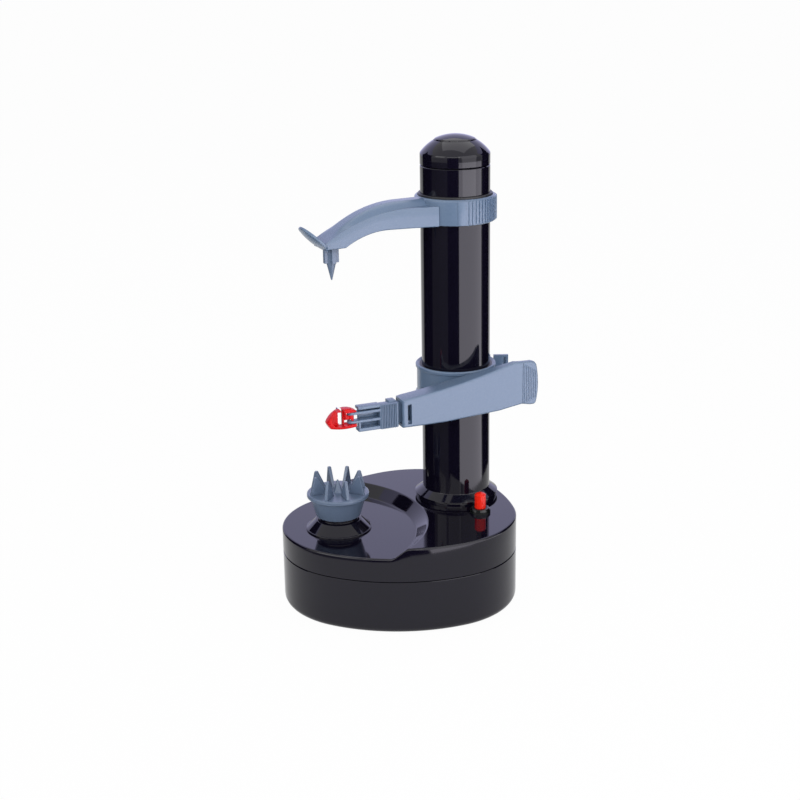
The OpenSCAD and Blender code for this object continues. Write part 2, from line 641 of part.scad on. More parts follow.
// side view of the arm: t 0 is its edge and 1 its crown, and wall leaves a shell open below
module top_arm_side(t, wall = 0) {
    polygon(concat([for (x = arm_steps) [x, edge_line(x) * (1 - t) + crown_line(x) * t - wall]],
        [for (i = [26:-1:0]) [arm_steps[i], wall > 0 ? collar_top - 33.6 : under_line(arm_steps[i])]]));
}
module top_arm() color(blue_grey) {
    on_top_arm() {
        difference() {
            union() {
                translate([0, 0, collar_top - collar_height]) cylinder(r = collar_radius, h = collar_height);
                for (i = [0:35]) rotate(180 - 99 + i * 5.5) box(collar_radius - 1, collar_radius + 0.6, -0.55, 0.55, collar_top - collar_height + 0.6, collar_top - 0.8);
                rotate(70.4) box(collar_radius - 1, collar_radius + 0.3, -2.6, 2.6, collar_top - collar_height + 0.3, collar_top - 0.4);
                // widening towards the collar
                intersection() {
                    translate([0, 17, 0]) rotate([90, 0, 0]) linear_extrude(34) top_arm_side(0);
                    translate([0, 0, collar_top - 40]) linear_extrude(60) polygon([[17, 17], [38, 11.6], [58, top_arm_width / 2 - 0.1], [58, 0.1 - top_arm_width / 2], [38, -11.6], [17, -17]]);
                }
                // crowned upper side
                for (t = [0, 0.35, 0.7, 1]) let(w = top_arm_width - 9 * t) translate([0, w / 2, 0]) rotate([90, 0, 0]) linear_extrude(w) top_arm_side(t);
                // thumb dish
                translate([arm_end + 4.3, 0, collar_top - 18.8]) rotate([0, -43.6, 0]) intersection() {
                    translate([0, 0, -6]) cylinder(r = thumb_radius, h = 9);
                    translate([0, 0, 38.5]) difference() { sphere(r = 40); sphere(r = 38.5); }
                }
            }
            translate([0, 0, collar_top - collar_height - 1]) cylinder(r = column_radius + 1.45, h = collar_height + 2);
            // hollow underside, left solid around the spike's bearing
            difference() {
                translate([0, top_arm_width / 2 - 2, 0]) rotate([90, 0, 0]) linear_extrude(top_arm_width - 4) top_arm_side(0, 2.4);
                translate([axis_gap - 5.5, -10, collar_top - 53.6]) cube([30, 20, 60]);
                translate([0, 0, collar_top - 53.6]) cylinder(r = collar_radius + 3, h = 60);
            }
            translate([axis_gap, 0, collar_top - 25.6]) cylinder(r = 2 + run_gap, h = 8);
            translate([axis_gap, 0, collar_top - 40]) cylinder(r = 5.6, h = 15.95);
            translate([axis_gap, 0, collar_top - 20.2]) cylinder(r = 3.1, h = 1.4);
        }
    }
}
module collar_liner() color(black) { at(column_at, collar_top - collar_height - 0.6) tube(column_radius + 1.45, column_radius + slide_gap, collar_height + 1.8); }
spike_low = collar_top - 33.6;    // lower end of the spike's winged boss
module top_spike() color(dark_blue) {
    at(turntable_at) {
        translate([0, 0, spike_low + 8.6]) cylinder(r = 2, h = 5.8);
        translate([0, 0, spike_low + 13.5]) cylinder(r = 2.9, h = 1.1);
        translate([0, 0, spike_low]) cylinder(r = 3.1, h = 9.4);
        for (a = [0, 90]) rotate(a + line_azimuth) box(-4.7, 4.7, -1.4, 1.4, spike_low, spike_low + 9.4);
        translate([0, 0, spike_low - 2]) cylinder(r1 = 2.4, r2 = 2.9, h = 2.01);
        translate([0, 0, spike_low - 10.5]) cylinder(r1 = 0.4, r2 = 2.4, h = 8.51);
    }
}

// ---------- carriage ----------
// flat lug from the ring out to a pin
module lug(p, z, h, r) {
    rotate(az(p)) box(ring_radius - 2, norm(p), 0.3 - r, r - 0.3, z, z + h);
    at(p, z) cylinder(r = r, h = h);
}
pivot_local = [pivot_s, pivot_p];
lever_pin = lever_pin_at * [cos(lever_azimuth), sin(lever_azimuth)];
module carriage() color(blue_grey) {
    at(column_at) difference() {
        union() {
            translate([0, 0, ring_bottom]) cylinder(r = ring_radius - 0.8, h = ring_height);
            translate([0, 0, ring_top - 2.4]) cylinder(r = ring_radius, h = 2.4);
            translate([0, 0, ring_bottom]) cylinder(r = ring_radius, h = 1.6);
            rotate(180 + blade_azimuth) for (z = [ear_low, ear_low + 10.4]) lug(pivot_local, z, 2.6, 4);
            for (z = [ring_bottom + 1.4, ring_bottom + 14.9]) lug(lever_pin, z, 3, 3.6);
        }
        translate([0, 0, ring_bottom - 1]) cylinder(r = ring_inner, h = ring_height + 2);
        translate([0, 0, ring_top - 0.75]) cylinder(r1 = ring_inner, r2 = ring_radius - 0.9, h = 1);
        rotate(180 + blade_azimuth) at(pivot_local, ear_low - 1) cylinder(r = pivot_pin_radius, h = 20);
        at(lever_pin, ring_bottom) cylinder(r = pivot_pin_radius, h = 30);
        rotate(slot_azimuth) box(ring_inner - 2, ring_radius + 3, -9, 7, ring_bottom + 4.6, ring_bottom + 14.7);
    }
}
module carriage_liner() color(black) {
    for (z = [ring_bottom + 0.4, ring_top - 3.4]) at(column_at, z) tube(ring_inner, column_radius + slide_gap, 2.6);
}
module arm_pin() color(steel) { on_blade_arm() at(pivot_local, ear_low - 0.6) cylinder(r = pivot_pin_radius, h = 14.2); }
module lever_pin_rod() color(steel) { at(column_at) at(lever_pin, ring_bottom + 1) cylinder(r = pivot_pin_radius, h = 17.4); }
nut_dir = [cos(nut_azimuth), sin(nut_azimuth)];
module nut_block(gap) { rotate(nut_azimuth) translate([1.6 - gap, -5.5 - gap]) square([7 + 2 * gap, 11 + 2 * gap]); }
module nut_lever() color(blue_grey) {
    at(column_at) difference() {
        union() {
            at(lever_pin, ring_bottom + 4.5) cylinder(r = 3.5, h = 10.3);
            translate([0, 0, lever_low]) linear_extrude(nut_height) {
                strut(lever_pin, polar(10.6, 85), 4);
                strut(polar(10.6, 85), polar(10.6, nut_azimuth), 4);
                translate(polar(10.6, 85)) circle(r = 2.6);
                strut(polar(7, nut_azimuth), polar(12.4, nut_azimuth), 6);
            }
            // outer tab that the thumb squeezes
            translate([0, 0, ring_bottom + 4.5]) linear_extrude(10.3) strut(lever_pin, [31.4, 11.2], 4);
            box(24.6, 34, 10, 12.6, ring_bottom + 4.5, ring_top + 0.6);
        }
        at(lever_pin, ring_bottom) cylinder(r = pivot_pin_radius + run_gap, h = 30);
        box(31, 32.3, 5, 11.8, ring_top - 6.8, ring_top - 0.6);
        translate([0, 0, lever_low - 1]) linear_extrude(nut_height + 2) nut_block(0.02);
    }
}
module half_nut() color(ivory) {
    at(column_at) difference() {
        translate([0, 0, lever_low]) linear_extrude(nut_height) nut_block(0);
        translate([0, 0, lever_low - 1]) cylinder(r = screw_radius + slide_gap, h = 12);
    }
}
module arm_spring() color(steel) {
    on_blade_arm() at(pivot_local, ear_low + 2.8) coil(2.5, 0.5, 2.9, 3);
}

// ---------- blade arm ----------
arm_tip = 52.6;              // blade end of the arm
arm_crest = -22;             // where the curved upper edge reaches the thumb pad
// upper edge from the blade end to the thumb pad: a shallow concave curve
function crest(t, drop) = [arm_tip + (arm_crest - arm_tip) * t, cart_high - 0.2 - drop + 14.4 * t - 6.8 * t * (1 - t)];
module arm_outline() {
    intersection() {
        polygon(concat([for (i = [0:16]) crest(i / 16, 0)], [[-34.5, cart_high + 14], [-42, cart_high + 10], [-42, cart_low + 1],
            [-33, cart_low + 1.6], [-27, cart_low + 2.9], [-12, cart_low + 0.6], [4, cart_low - 0.4], [24, cart_low - 1.6], [arm_tip, cart_low - 1.8]]));
        translate([-1.4, cart_high]) circle(r = 37);
        union() { translate([-33, cart_low + 24.6]) circle(r = 6); translate([-60, cart_low]) square([28, 24.6]); translate([-33, cart_low - 10]) square([100, 60]); }
    }
    translate([20, cart_low - 1.5]) square([arm_tip - 20, cart_high - cart_low]);
}
module arm_inner() {
    polygon(concat([for (i = [6:15]) crest(i / 16, 2.2)], [[-19, cart_low + 3.6], [-12, cart_low + 2.8], [24, cart_low + 0.6], [36, cart_low + 0.6], [36, cart_low + 0.2], [60, cart_low + 0.2], [60, cart_high - 2.3], [36, cart_high - 2.3]]));
}
module blade_arm() color(blue_grey) {
    on_blade_arm() difference() {
        union() {
            difference() {
                translate([0, arm_front, 0]) rotate([90, 0, 0]) linear_extrude(arm_thickness) arm_outline();
                translate([0, arm_front - arm_wall, 0]) rotate([90, 0, 0]) linear_extrude(20) arm_inner();
                // the arm thins towards the pad
                translate([0, 0, cart_low - 10]) linear_extrude(60) polygon([[14, arm_back - 1], [10, arm_back], [-23.6, arm_front - 3.3], [-46, arm_front - 3.3], [-46, arm_back - 1]]);
            }
            // barrel on the pin, between the carriage's ears
            at(pivot_local, ear_low + 5.9) cylinder(r = 4, h = 4.3);
            box(pivot_s - 4, pivot_s + 4, pivot_p, arm_front - 1, ear_low + 5.9, ear_low + 10.2);
            // bulkhead behind the cartridge's tongue, and lips that hold the tongue in
            box(34, 36, arm_back + 2, arm_front - 1, cart_low, cart_high + 1.4);
            box(40, arm_tip, arm_back, cart_back - 0.1, cart_low - 1, cart_low + 3);
            box(40, arm_tip, arm_back, cart_back - 0.1, cart_high - 5.4, cart_high - 1.4);
            // grip ribs of the thumb pad
            for (i = [0:6]) box(-29.2 - i * 1.25, -28.6 - i * 1.25, arm_front - 0.5, arm_front + 0.4, cart_low + 3.6 + i * 0.4, cart_high + 12.2 - i * 0.8);
        }
        at(pivot_local, ear_low) cylinder(r = pivot_pin_radius + run_gap, h = 11);
        for (f = [0, 8, 16]) rotate_about(pivot_local, f) cylinder(r = ring_radius + 0.7, h = 300);
        box(47, 49.6, arm_front - 5, arm_front + 2, cart_low + 0.4, cart_high - 3.2);
        box(-27.7, -27.3, arm_front - 0.4, arm_front + 1, cart_low, cart_high + 20);
        // the thumb pad is a thin plate
        box(-45, -23.6, arm_back - 1, arm_front - 3.2, cart_low - 10, cart_high + 30);
    }
}
module rotate_about(p, a) { translate([p[0], p[1], 0]) rotate([0, 0, a]) translate([-p[0], -p[1], 0]) children(); }
module blade_slide() color(blue_grey) {
    on_blade_arm() difference() {
        union() {
            box(38, 51.8, cart_back, arm_front - arm_wall - 0.1, cart_low + 0.4, cart_high - 2.6);
            box(51.7, 55, cart_back, cart_back + 3.4, cart_low + 0.4, cart_high - 2.6);
            // finger grip
            box(54.4, 66.4, cart_back, cart_front, cart_low - 1.2, cart_high - 2);
            for (i = [0:9]) box(55.6 + i * 1.06, 56.15 + i * 1.06, cart_front - 0.5, cart_front + 0.5, cart_low - 1.2, cart_high - 2);
            box(54.8, 59.6, arm_back, cart_back + 3, cart_high - 4.4, cart_high - 1.2);
            // fork: top plate, two tines and a bottom rail with its end post
            box(66.3, 80.2, cart_back, cart_front - 0.4, cart_high - 3.4, cart_high - 1.6);
            for (z = tine_heights) {
                box(66.3, pin_x, pin_p - 2, cart_front - 0.4, z, z + 1.6);
                at([pin_x, pin_p], z) cylinder(r = 2, h = 1.6);
            }
            box(66.3, 80, cart_back, cart_front - 0.4, cart_low - 1, cart_low + 1.2);
            box(78.8, 80, cart_front - 2.4, cart_front - 0.4, cart_low + 1.1, tine_heights[0] + eps);
            box(66.3, 79, cart_back, cart_back + 1.2, cart_low + 1.1, cart_high - 3.3);
        }
        for (z = tine_heights) at([pin_x, pin_p], z - 1) cylinder(r = holder_pin_radius, h = 4);
        box(36, 50, cart_back + 1.6, arm_front - arm_wall - 2, cart_low + 2, cart_high - 4.4);
        box(47, 49.6, arm_front - arm_wall - 3, arm_front, cart_low + 2, cart_high - 4.4);
    }
}
module holder_pin() color(steel) { on_blade_arm() at([pin_x, pin_p], tine_heights[0] - 0.2) cylinder(r = holder_pin_radius, h = tine_heights[1] - tine_heights[0] + 2); }
module blade_holder() color(red) {
    on_blade_arm() difference() {
        union() {
            // leaf-shaped shield
            translate([0, cart_front, 0]) rotate([90, 0, 0]) linear_extrude(cart_front - cart_back) intersection() {
                translate([88, holder_z - 6.5]) circle(r = 12.3);
                translate([88, holder_z + 33.4]) circle(r = 40);
                translate([82, holder_z + 5.1]) circle(r = 18.9);
                translate([81.2, holder_z - 20]) square([30, 40]);
            }
            at([pin_x, pin_p], tine_heights[0] + 1.7) cylinder(r = 2.2, h = tine_heights[1] - tine_heights[0] - 1.8);
        }
        // room for the tines, leaving the barrel and its neck
        difference() {
            box(70, 88, cart_back - 1, cart_front + 1, tine_heights[0] - 0.3, tine_heights[1] + 2);
            at([pin_x, pin_p], tine_heights[0] + 1.7) cylinder(r = 2.2, h = tine_heights[1] - tine_heights[0] - 1.8);
            box(pin_x, 90, pin_p - 1.6, pin_p + 1.6, tine_heights[0] + 1.7, tine_heights[1] - 0.1);
        }
        at([pin_x, pin_p], holder_z - 10) cylinder(r = holder_pin_radius + run_gap, h = 20);
        // scooped front, and the slot that the peel comes through
        box(83, 97.4, cart_back + 2.2, cart_front + 1, holder_z - 4.6, tine_heights[0] - 0.2);
        box(87.2, 97.4, cart_back + 2.2, cart_front + 1, holder_z - 4.6, holder_z + 4.4);
        box(89, 91.25, arm_back - 2, cart_front + 1, holder_z - 5.1, holder_z + 5.6);
        at([91.2, cart_back], holder_z - 5.1) box(0, 0.75, -2, 2.25, 0, 10.7);
    }
}
module blade() color(steel) {
    on_blade_arm() difference() {
        at([91.2, cart_back], holder_z - 5.05) box(0.05, 0.7, -1.4, 2.2, 0, 10.6);
        at([91.2, cart_back - 1.4], holder_z - 6) rotate(30) box(-2, 4, -2, 0, 0, 13);
    }
}

base_bottom();
base_top();
rubber_feet();
base_screws();
battery_door();
battery_cells();
battery_contacts();
dc_socket();
gearbox_plate();
plate_screws();
gear_pins();
motor();
motor_pinion();
first_gear();
second_gear();
turntable_gear();
turntable_shaft();
screw_gear();
lead_screw();
upper_bearing();
column_tube();
column_screws();
column_cap();
cap_knob();
stop_switch();
switch_bezel();
push_button();
button_spring();
start_switch();
circuit_board();
hub_cone();
prong_holder();
prong_fins();
top_arm();
collar_liner();
top_spike();
carriage();
carriage_liner();
arm_pin();
lever_pin_rod();
nut_lever();
half_nut();
arm_spring();
blade_arm();
blade_slide();
holder_pin();
blade_holder();
blade();
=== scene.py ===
# Upright electric potato peeler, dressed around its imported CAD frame. Sizes are millimetres until newPiece.
import math

import bmesh
import bpy
import numpy as np
from mathutils import Matrix, Vector


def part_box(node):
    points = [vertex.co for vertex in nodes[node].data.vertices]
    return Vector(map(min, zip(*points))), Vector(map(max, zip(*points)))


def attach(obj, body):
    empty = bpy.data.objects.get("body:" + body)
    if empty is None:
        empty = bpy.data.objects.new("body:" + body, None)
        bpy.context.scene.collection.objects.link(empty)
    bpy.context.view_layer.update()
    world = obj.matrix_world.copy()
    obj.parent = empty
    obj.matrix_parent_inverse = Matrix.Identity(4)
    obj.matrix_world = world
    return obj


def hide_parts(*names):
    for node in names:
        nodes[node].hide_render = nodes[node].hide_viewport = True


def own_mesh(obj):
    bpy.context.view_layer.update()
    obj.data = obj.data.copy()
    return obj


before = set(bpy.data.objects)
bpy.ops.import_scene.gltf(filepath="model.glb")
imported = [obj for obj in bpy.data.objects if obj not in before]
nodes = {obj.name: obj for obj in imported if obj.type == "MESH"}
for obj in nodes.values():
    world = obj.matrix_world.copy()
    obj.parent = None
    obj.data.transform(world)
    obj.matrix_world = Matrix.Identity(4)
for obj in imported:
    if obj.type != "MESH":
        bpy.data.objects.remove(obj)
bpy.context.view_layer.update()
mm = 0.001
print("frame loaded:", len(nodes), "nodes")


# Where things are, read from the frame

def centreOf(node):
    low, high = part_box(node)
    return np.array([(low[0] + high[0]) / 2, (low[1] + high[1]) / 2]) / mm


def heightsOf(node):
    low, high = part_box(node)
    return low[2] / mm, high[2] / mm


columnAt = centreOf("lead_screw")
turntableAt = centreOf("turntable_shaft")
buttonAt = centreOf("push_button")
topAngle = math.degrees(math.atan2(*(turntableAt - columnAt)[::-1]))
bladeAngle = 202.0


def turned(points, angle, at=(0, 0), lift=0):
    c, s = math.cos(math.radians(angle)), math.sin(math.radians(angle))
    p = np.asarray(points, dtype=float).reshape(-1, 3)
    return np.stack([at[0] + c * p[:, 0] - s * p[:, 1], at[1] + s * p[:, 0] + c * p[:, 1], p[:, 2] + lift],
                    axis=1)


def newPiece(name, verts, faces, sharp=32):
    mesh = bpy.data.meshes.new(name)
    mesh.from_pydata((np.asarray(verts) * mm).tolist(), [], [list(f) for f in faces])
    piece = bpy.data.objects.new(name, mesh)
    bpy.context.collection.objects.link(piece)
    tidyMesh(piece, sharp)
    return piece


def tidyMesh(piece, sharp=32, merge=0.002):
    work = bmesh.new()
    work.from_mesh(piece.data)
    bmesh.ops.remove_doubles(work, verts=work.verts, dist=merge * mm)
    bmesh.ops.dissolve_degenerate(work, edges=work.edges, dist=0.001 * mm)
    bmesh.ops.recalc_face_normals(work, faces=work.faces)
    work.to_mesh(piece.data)
    work.free()
    piece.data.shade_smooth()
    piece.data.set_sharp_from_angle(angle=math.radians(sharp))
    return piece


# points are (x, y) or (x, y, radius): each corner with a radius becomes an arc.
def roundPath(points, closed=False, steps=5):
    out, count = [], len(points)
    for i, p in enumerate(points):
        radius = p[2] if len(p) > 2 else 0
        if radius <= 0 or (not closed and i in (0, count - 1)):
            out.append((p[0], p[1]))
            continue
        here = np.array(p[:2], float)
        before, after = np.array(points[i - 1][:2], float), np.array(points[(i + 1) % count][:2], float)
        a, b = before - here, after - here
        la, lb = np.linalg.norm(a), np.linalg.norm(b)
        a, b = a / la, b / lb
        half = math.acos(max(-1, min(1, float(a @ b)))) / 2
        reach = min(radius / math.tan(half), 0.49 * la, 0.49 * lb)
        radius = reach * math.tan(half)
        centre = here + (a + b) / np.linalg.norm(a + b) * radius / math.sin(half)
        start, end = here + a * reach - centre, here + b * reach - centre
        turn = math.atan2(start[0] * end[1] - start[1] * end[0], float(start @ end))
        for k in range(steps + 1):
            t = turn * k / steps
            c, s = math.cos(t), math.sin(t)
            out.append((centre[0] + c * start[0] - s * start[1], centre[1] + s * start[0] + c * start[1]))
    return out


def lathe(name, profile, at, steps=96, closed=False, sharp=32, span=(0, 360)):
    full = span[1] - span[0] >= 360
    count = steps if full else steps + 1
    verts, rings = [], []
    for r, z in profile:
        if r < 1e-6:
            rings.append([len(verts)] * count)
            verts.append((at[0], at[1], z))
            continue
        rings.append(list(range(len(verts), len(verts) + count)))
        for k in range(count):
            t = math.radians(span[0] + (span[1] - span[0]) * k / steps)
            verts.append((at[0] + r * math.cos(t), at[1] + r * math.sin(t), z))
    faces = []
    pairs = list(zip(rings, rings[1:] + rings[:1] if closed else rings[1:]))
    for low, high in pairs[:len(rings) if closed else len(rings) - 1]:
        for k in range(count if full else count - 1):
            n = (k + 1) % count
            quad = [low[k], low[n], high[n], high[k]]
            face = [v for i, v in enumerate(quad) if v != quad[i - 1]]
            if len(face) > 2:
                faces.append(face)
    if not full:
        faces += [[ring[0] for ring in rings], [ring[-1] for ring in rings][::-1]]
    return newPiece(name, verts, faces, sharp)


# Each point of a counter-clockwise loop moved inwards.
def offsetLoop(loop, inset):
    p = np.asarray(loop, float)
    before, after = p - np.roll(p, 1, axis=0), np.roll(p, -1, axis=0) - p
    n1 = np.stack([-before[:, 1], before[:, 0]], 1) / np.linalg.norm(before, axis=1)[:, None]
    n2 = np.stack([-after[:, 1], after[:, 0]], 1) / np.linalg.norm(after, axis=1)[:, None]
    n = n1 + n2
    n /= (n * n).sum(1)[:, None] / 2
    return p + n * inset


# rings are equal-length lists of points; each is joined to the next, and the ends are closed.
def loftRings(name, rings, sharp=32, caps=True):
    count = len(rings[0])
    verts = [p for ring in rings for p in ring]
    faces = []
    for i in range(len(rings) - 1):
        for k in range(count):
            n = (k + 1) % count
            faces.append([i * count + k, i * count + n, (i + 1) * count + n, (i + 1) * count + k])
    if caps:
        faces += [list(range(count))[::-1], [(len(rings) - 1) * count + k for k in range(count)]]
    return newPiece(name, verts, faces, sharp)


# A plate: loop is its outline in (x, z), from depth back to front, with rounded rims.
def cushionedSlab(name, loop, back, front, edge, toWorld, sharp=32, backEdge=None):
    backEdge = edge if backEdge is None else backEdge
    rows = []
    for size, level, sign in ((backEdge, back, 1), (edge, front, -1)):
        arc = [(size * (1 - math.sin(math.radians(a))),
                level + sign * size * (1 - math.cos(math.radians(a)))) for a in (0, 22, 45, 68, 90)]
        rows += ([(arc[0][0] + 0.05, arc[0][1])] + arc) if sign > 0 else (arc[::-1] + [(arc[0][0] + 0.05,
            arc[0][1])])
    rings = [[(x, depth, z) for x, z in offsetLoop(loop, inset)] for inset, depth in rows]
    return loftRings(name, [toWorld(ring) for ring in rings], sharp)


# A box with rounded edges, its sides given as ranges.
def block(name, x, y, z, edge, toWorld, sharp=32):
    work = bmesh.new()
    bmesh.ops.create_cube(work, size=1)
    for v in work.verts:
        v.co = Vector([(a[0] + a[1]) / 2 + c * (a[1] - a[0]) for c, a in zip(v.co, (x, y, z))])
    if edge:
        bmesh.ops.bevel(work, geom=work.edges[:], offset=edge, segments=2, profile=0.6, affect="EDGES")
    verts = toWorld([v.co[:] for v in work.verts])
    faces = [[v.index for v in f.verts] for f in work.faces]
    work.free()
    return newPiece(name, verts, faces, sharp)


# A round bar between two points of a local frame.
def rod(name, r, start, end, edge, toWorld, steps=40):
    a, b = Vector(start), Vector(end)
    length = (b - a).length
    turn = (b - a).to_track_quat("Z", "Y").to_matrix()
    profile = [(0, 0), (max(r - edge, 0), 0), (r, edge), (r, length - edge), (max(r - edge, 0), length),
               (0, length)]
    verts, rings = [], []
    for radius, z in profile:
        if radius < 1e-6:
            rings.append([len(verts)] * steps)
            verts.append(a + turn @ Vector((0, 0, z)))
            continue
        rings.append(list(range(len(verts), len(verts) + steps)))
        verts += [a + turn @ Vector((radius * math.cos(2 * math.pi * k / steps),
                                     radius * math.sin(2 * math.pi * k / steps), z)) for k in range(steps)]
    faces = []
    for low, high in zip(rings, rings[1:]):
        for k in range(steps):
            n = (k + 1) % steps
            quad = [low[k], low[n], high[n], high[k]]
            face = [v for i, v in enumerate(quad) if v != quad[i - 1]]
            if len(face) > 2:
                faces.append(face)
    return newPiece(name, toWorld([v[:] for v in verts]), faces, 32)


def joined(name, parts, sharp=32):
    work = bmesh.new()
    for part in parts:
        work.from_mesh(part.data)
        bpy.data.objects.remove(part)
    mesh = bpy.data.meshes.new(name)
    work.to_mesh(mesh)
    work.free()
    piece = bpy.data.objects.new(name, mesh)
    bpy.context.collection.objects.link(piece)
    piece.data.shade_smooth()
    piece.data.set_sharp_from_angle(angle=math.radians(sharp))
    return piece


# piece with its modifiers made real.
def applied(piece):
    shape = piece.evaluated_get(bpy.context.evaluated_depsgraph_get())
    mesh = bpy.data.meshes.new_from_object(shape)
    piece.modifiers.clear()
    piece.data = mesh
    return piece


def boolean(piece, tools, operation="DIFFERENCE", sharp=32):
    for tool in tools:
        cut = piece.modifiers.new("cut", "BOOLEAN")
        cut.operation, cut.object, cut.solver = operation, tool, "EXACT"
    bpy.context.view_layer.update()
    applied(piece)
    for tool in tools:
        bpy.data.objects.remove(tool)
    return tidyMesh(piece, sharp, merge=0.004)


def softEdges(piece, width, angle=40, segments=2, sharp=32):
    soft = piece.modifiers.new("soft", "BEVEL")
    soft.width, soft.segments, soft.limit_method = width * mm, segments, "ANGLE"
    soft.angle_limit, soft.harden_normals, soft.use_clamp_overlap = math.radians(angle), False, True
    bpy.context.view_layer.update()
    applied(piece)
    piece.data.shade_smooth()
    piece.data.set_sharp_from_angle(angle=math.radians(sharp))
    return piece


# A copy of a straight-edged CAD node with its seams merged and its edges eased.
def dressed(node, name, width=0.25):
    piece = bpy.data.objects.new(name, nodes[node].data.copy())
    bpy.context.collection.objects.link(piece)
    piece.data.materials.clear()
    work = bmesh.new()
    work.from_mesh(piece.data)
    bmesh.ops.remove_doubles(work, verts=work.verts, dist=0.002 * mm)
    bmesh.ops.dissolve_limit(work, angle_limit=math.radians(1), verts=work.verts, edges=work.edges)
    work.to_mesh(piece.data)
    work.free()
    if width:
        softEdges(piece, width)
    else:
        piece.data.shade_smooth()
        piece.data.set_sharp_from_angle(angle=math.radians(32))
    return piece


def finishPiece(piece, body, finish, replaces=()):
    piece.data.materials.clear()
    piece.data.materials.append(finish)
    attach(piece, body)
    if replaces:
        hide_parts(*replaces)
    return piece


# A socket that adds Math nodes when it is used in an expression.
class Wire:
    def __init__(self, tree, socket):
        self.tree, self.socket = tree, socket

    def math(self, operation, other, swap=False):
        node = self.tree.nodes.new("ShaderNodeMath")
        node.operation = operation
        pair = (other, self) if swap else (self, other)
        for socket, value in zip(node.inputs, pair):
            if isinstance(value, Wire):
                self.tree.links.new(value.socket, socket)
            elif value is not None:
                socket.default_value = value
        return Wire(self.tree, node.outputs[0])

    def __add__(self, other): return self.math("ADD", other)
    def __radd__(self, other): return self.math("ADD", other, True)
    def __sub__(self, other): return self.math("SUBTRACT", other)
    def __rsub__(self, other): return self.math("SUBTRACT", other, True)
    def __mul__(self, other): return self.math("MULTIPLY", other)
    def __rmul__(self, other): return self.math("MULTIPLY", other, True)
    def __pow__(self, other): return self.math("POWER", other)
    def __gt__(self, other): return self.math("GREATER_THAN", other)


# A material under construction.
class Finish:
    def __init__(self, name):
        self.material = bpy.data.materials.new(name)
        self.material.use_nodes = True
        self.tree = self.material.node_tree
        self.tree.nodes.clear()
        self.output = self.tree.nodes.new("ShaderNodeOutputMaterial")

    def node(self, kind, settings=None, out=0, **sockets):
        made = self.tree.nodes.new("ShaderNode" + kind)
        for key, value in (settings or {}).items():
            if key == "stops":
                ramp = made.color_ramp
                while len(ramp.elements) < len(value):
                    ramp.elements.new(0.5)
                for element, (place, colour) in zip(ramp.elements, value):
                    element.position, element.color = place, (*colour, 1)
            else:
                setattr(made, key, value)
        for key, value in sockets.items():
            key = int(key[1:]) if key[0] == "i" and key[1:].isdigit() else key.replace("_", " ")
            if isinstance(value, Wire):
                self.tree.links.new(value.socket, made.inputs[key])
            else:
                made.inputs[key].default_value = value
        return Wire(self.tree, made.outputs[out])

    def place(self):
        return self.node("TexCoord", out=3)

    def noise(self, scale, detail=3, roughness=0.5, at=None):
        return self.node("TexNoise", Vector=at or self.place(), Scale=scale, Detail=detail,
                         Roughness=roughness)

    def mix(self, mask, first, second):
        return self.node("Mix", {"data_type": "RGBA"}, out=2, i0=mask, i6=first, i7=second)

    def bump(self, height, strength, distance):
        return self.node("Bump", Height=height, Strength=strength, Distance=distance)

    def done(self, **sockets):
        shader = self.node("BsdfPrincipled", **sockets)
        self.tree.links.new(shader.socket, self.output.inputs[0])
        return self.material


# A colour given as it looks on screen, 0 to 255.
def rgb(r, g, b):
    return tuple((c / 255 / 12.92) if c / 255 <= 0.04045 else ((c / 255 + 0.055) / 1.055) ** 2.4
                 for c in (r, g, b)) + (1,)


glossBlack = {"base": rgb(12, 10, 22), "tint": rgb(16, 13, 28), "roughness": 0.07, "ripple": 0.015,
              "ior": 1.42}
blueGrey = {"base": rgb(104, 125, 151), "tint": rgb(98, 119, 146), "roughness": 0.27, "ior": 1.6}
slateBlue = {"base": rgb(104, 120, 143), "tint": rgb(96, 112, 136), "roughness": 0.28, "ior": 1.55}


# Injection-moulded plastic: slow colour drift, faint flow ripple and a fine surface grain.
def moulded(name, look, grain=900):
    f = Finish(name)
    drift = f.noise(22, 2)
    grainNoise = f.noise(grain * 4, 2)
    ripple = f.noise(38, 1)
    height = ripple * look.get("ripple", 0.05) * 10 + grainNoise * look.get("grain", 0.12)
    return f.done(Base_Color=f.mix(drift, look["base"], look["tint"]),
                  Roughness=grainNoise * 0.06 + drift * 0.04 + (look["roughness"] - 0.05),
                  Normal=f.bump(height, 0.12, 0.0002), IOR=look.get("ior", 1.5))


finishes = {
    "gloss": moulded("glossBlackAbs", {**glossBlack, "grain": 0.02}),
    "blue": moulded("satinBlueGrey", blueGrey),
    "slate": moulded("satinSlateBlue", slateBlue),
    "plain": moulded("plainBlack", {"base": rgb(22, 22, 24), "tint": rgb(30, 30, 33), "roughness": 0.42}),
    "bezel": moulded("bezelBlack", {"base": rgb(12, 15, 15), "tint": rgb(18, 22, 22), "roughness": 0.25}),
    "button": moulded("buttonRed", {"base": rgb(250, 40, 14), "tint": rgb(244, 30, 10), "roughness": 0.3,
                                    "grain": 0.04, "ior": 1.35}),
    "red": moulded("shieldRed", {"base": rgb(226, 8, 18), "tint": rgb(212, 4, 12), "roughness": 0.34,
                                 "grain": 0.04, "ior": 1.3}),
    "acetal": moulded("naturalAcetal", {"base": rgb(226, 222, 208), "tint": rgb(214, 209, 194),
                                        "roughness": 0.4}),
    "rubber": moulded("footRubber", {"base": rgb(26, 26, 27), "tint": rgb(36, 36, 37), "roughness": 0.75}),
}


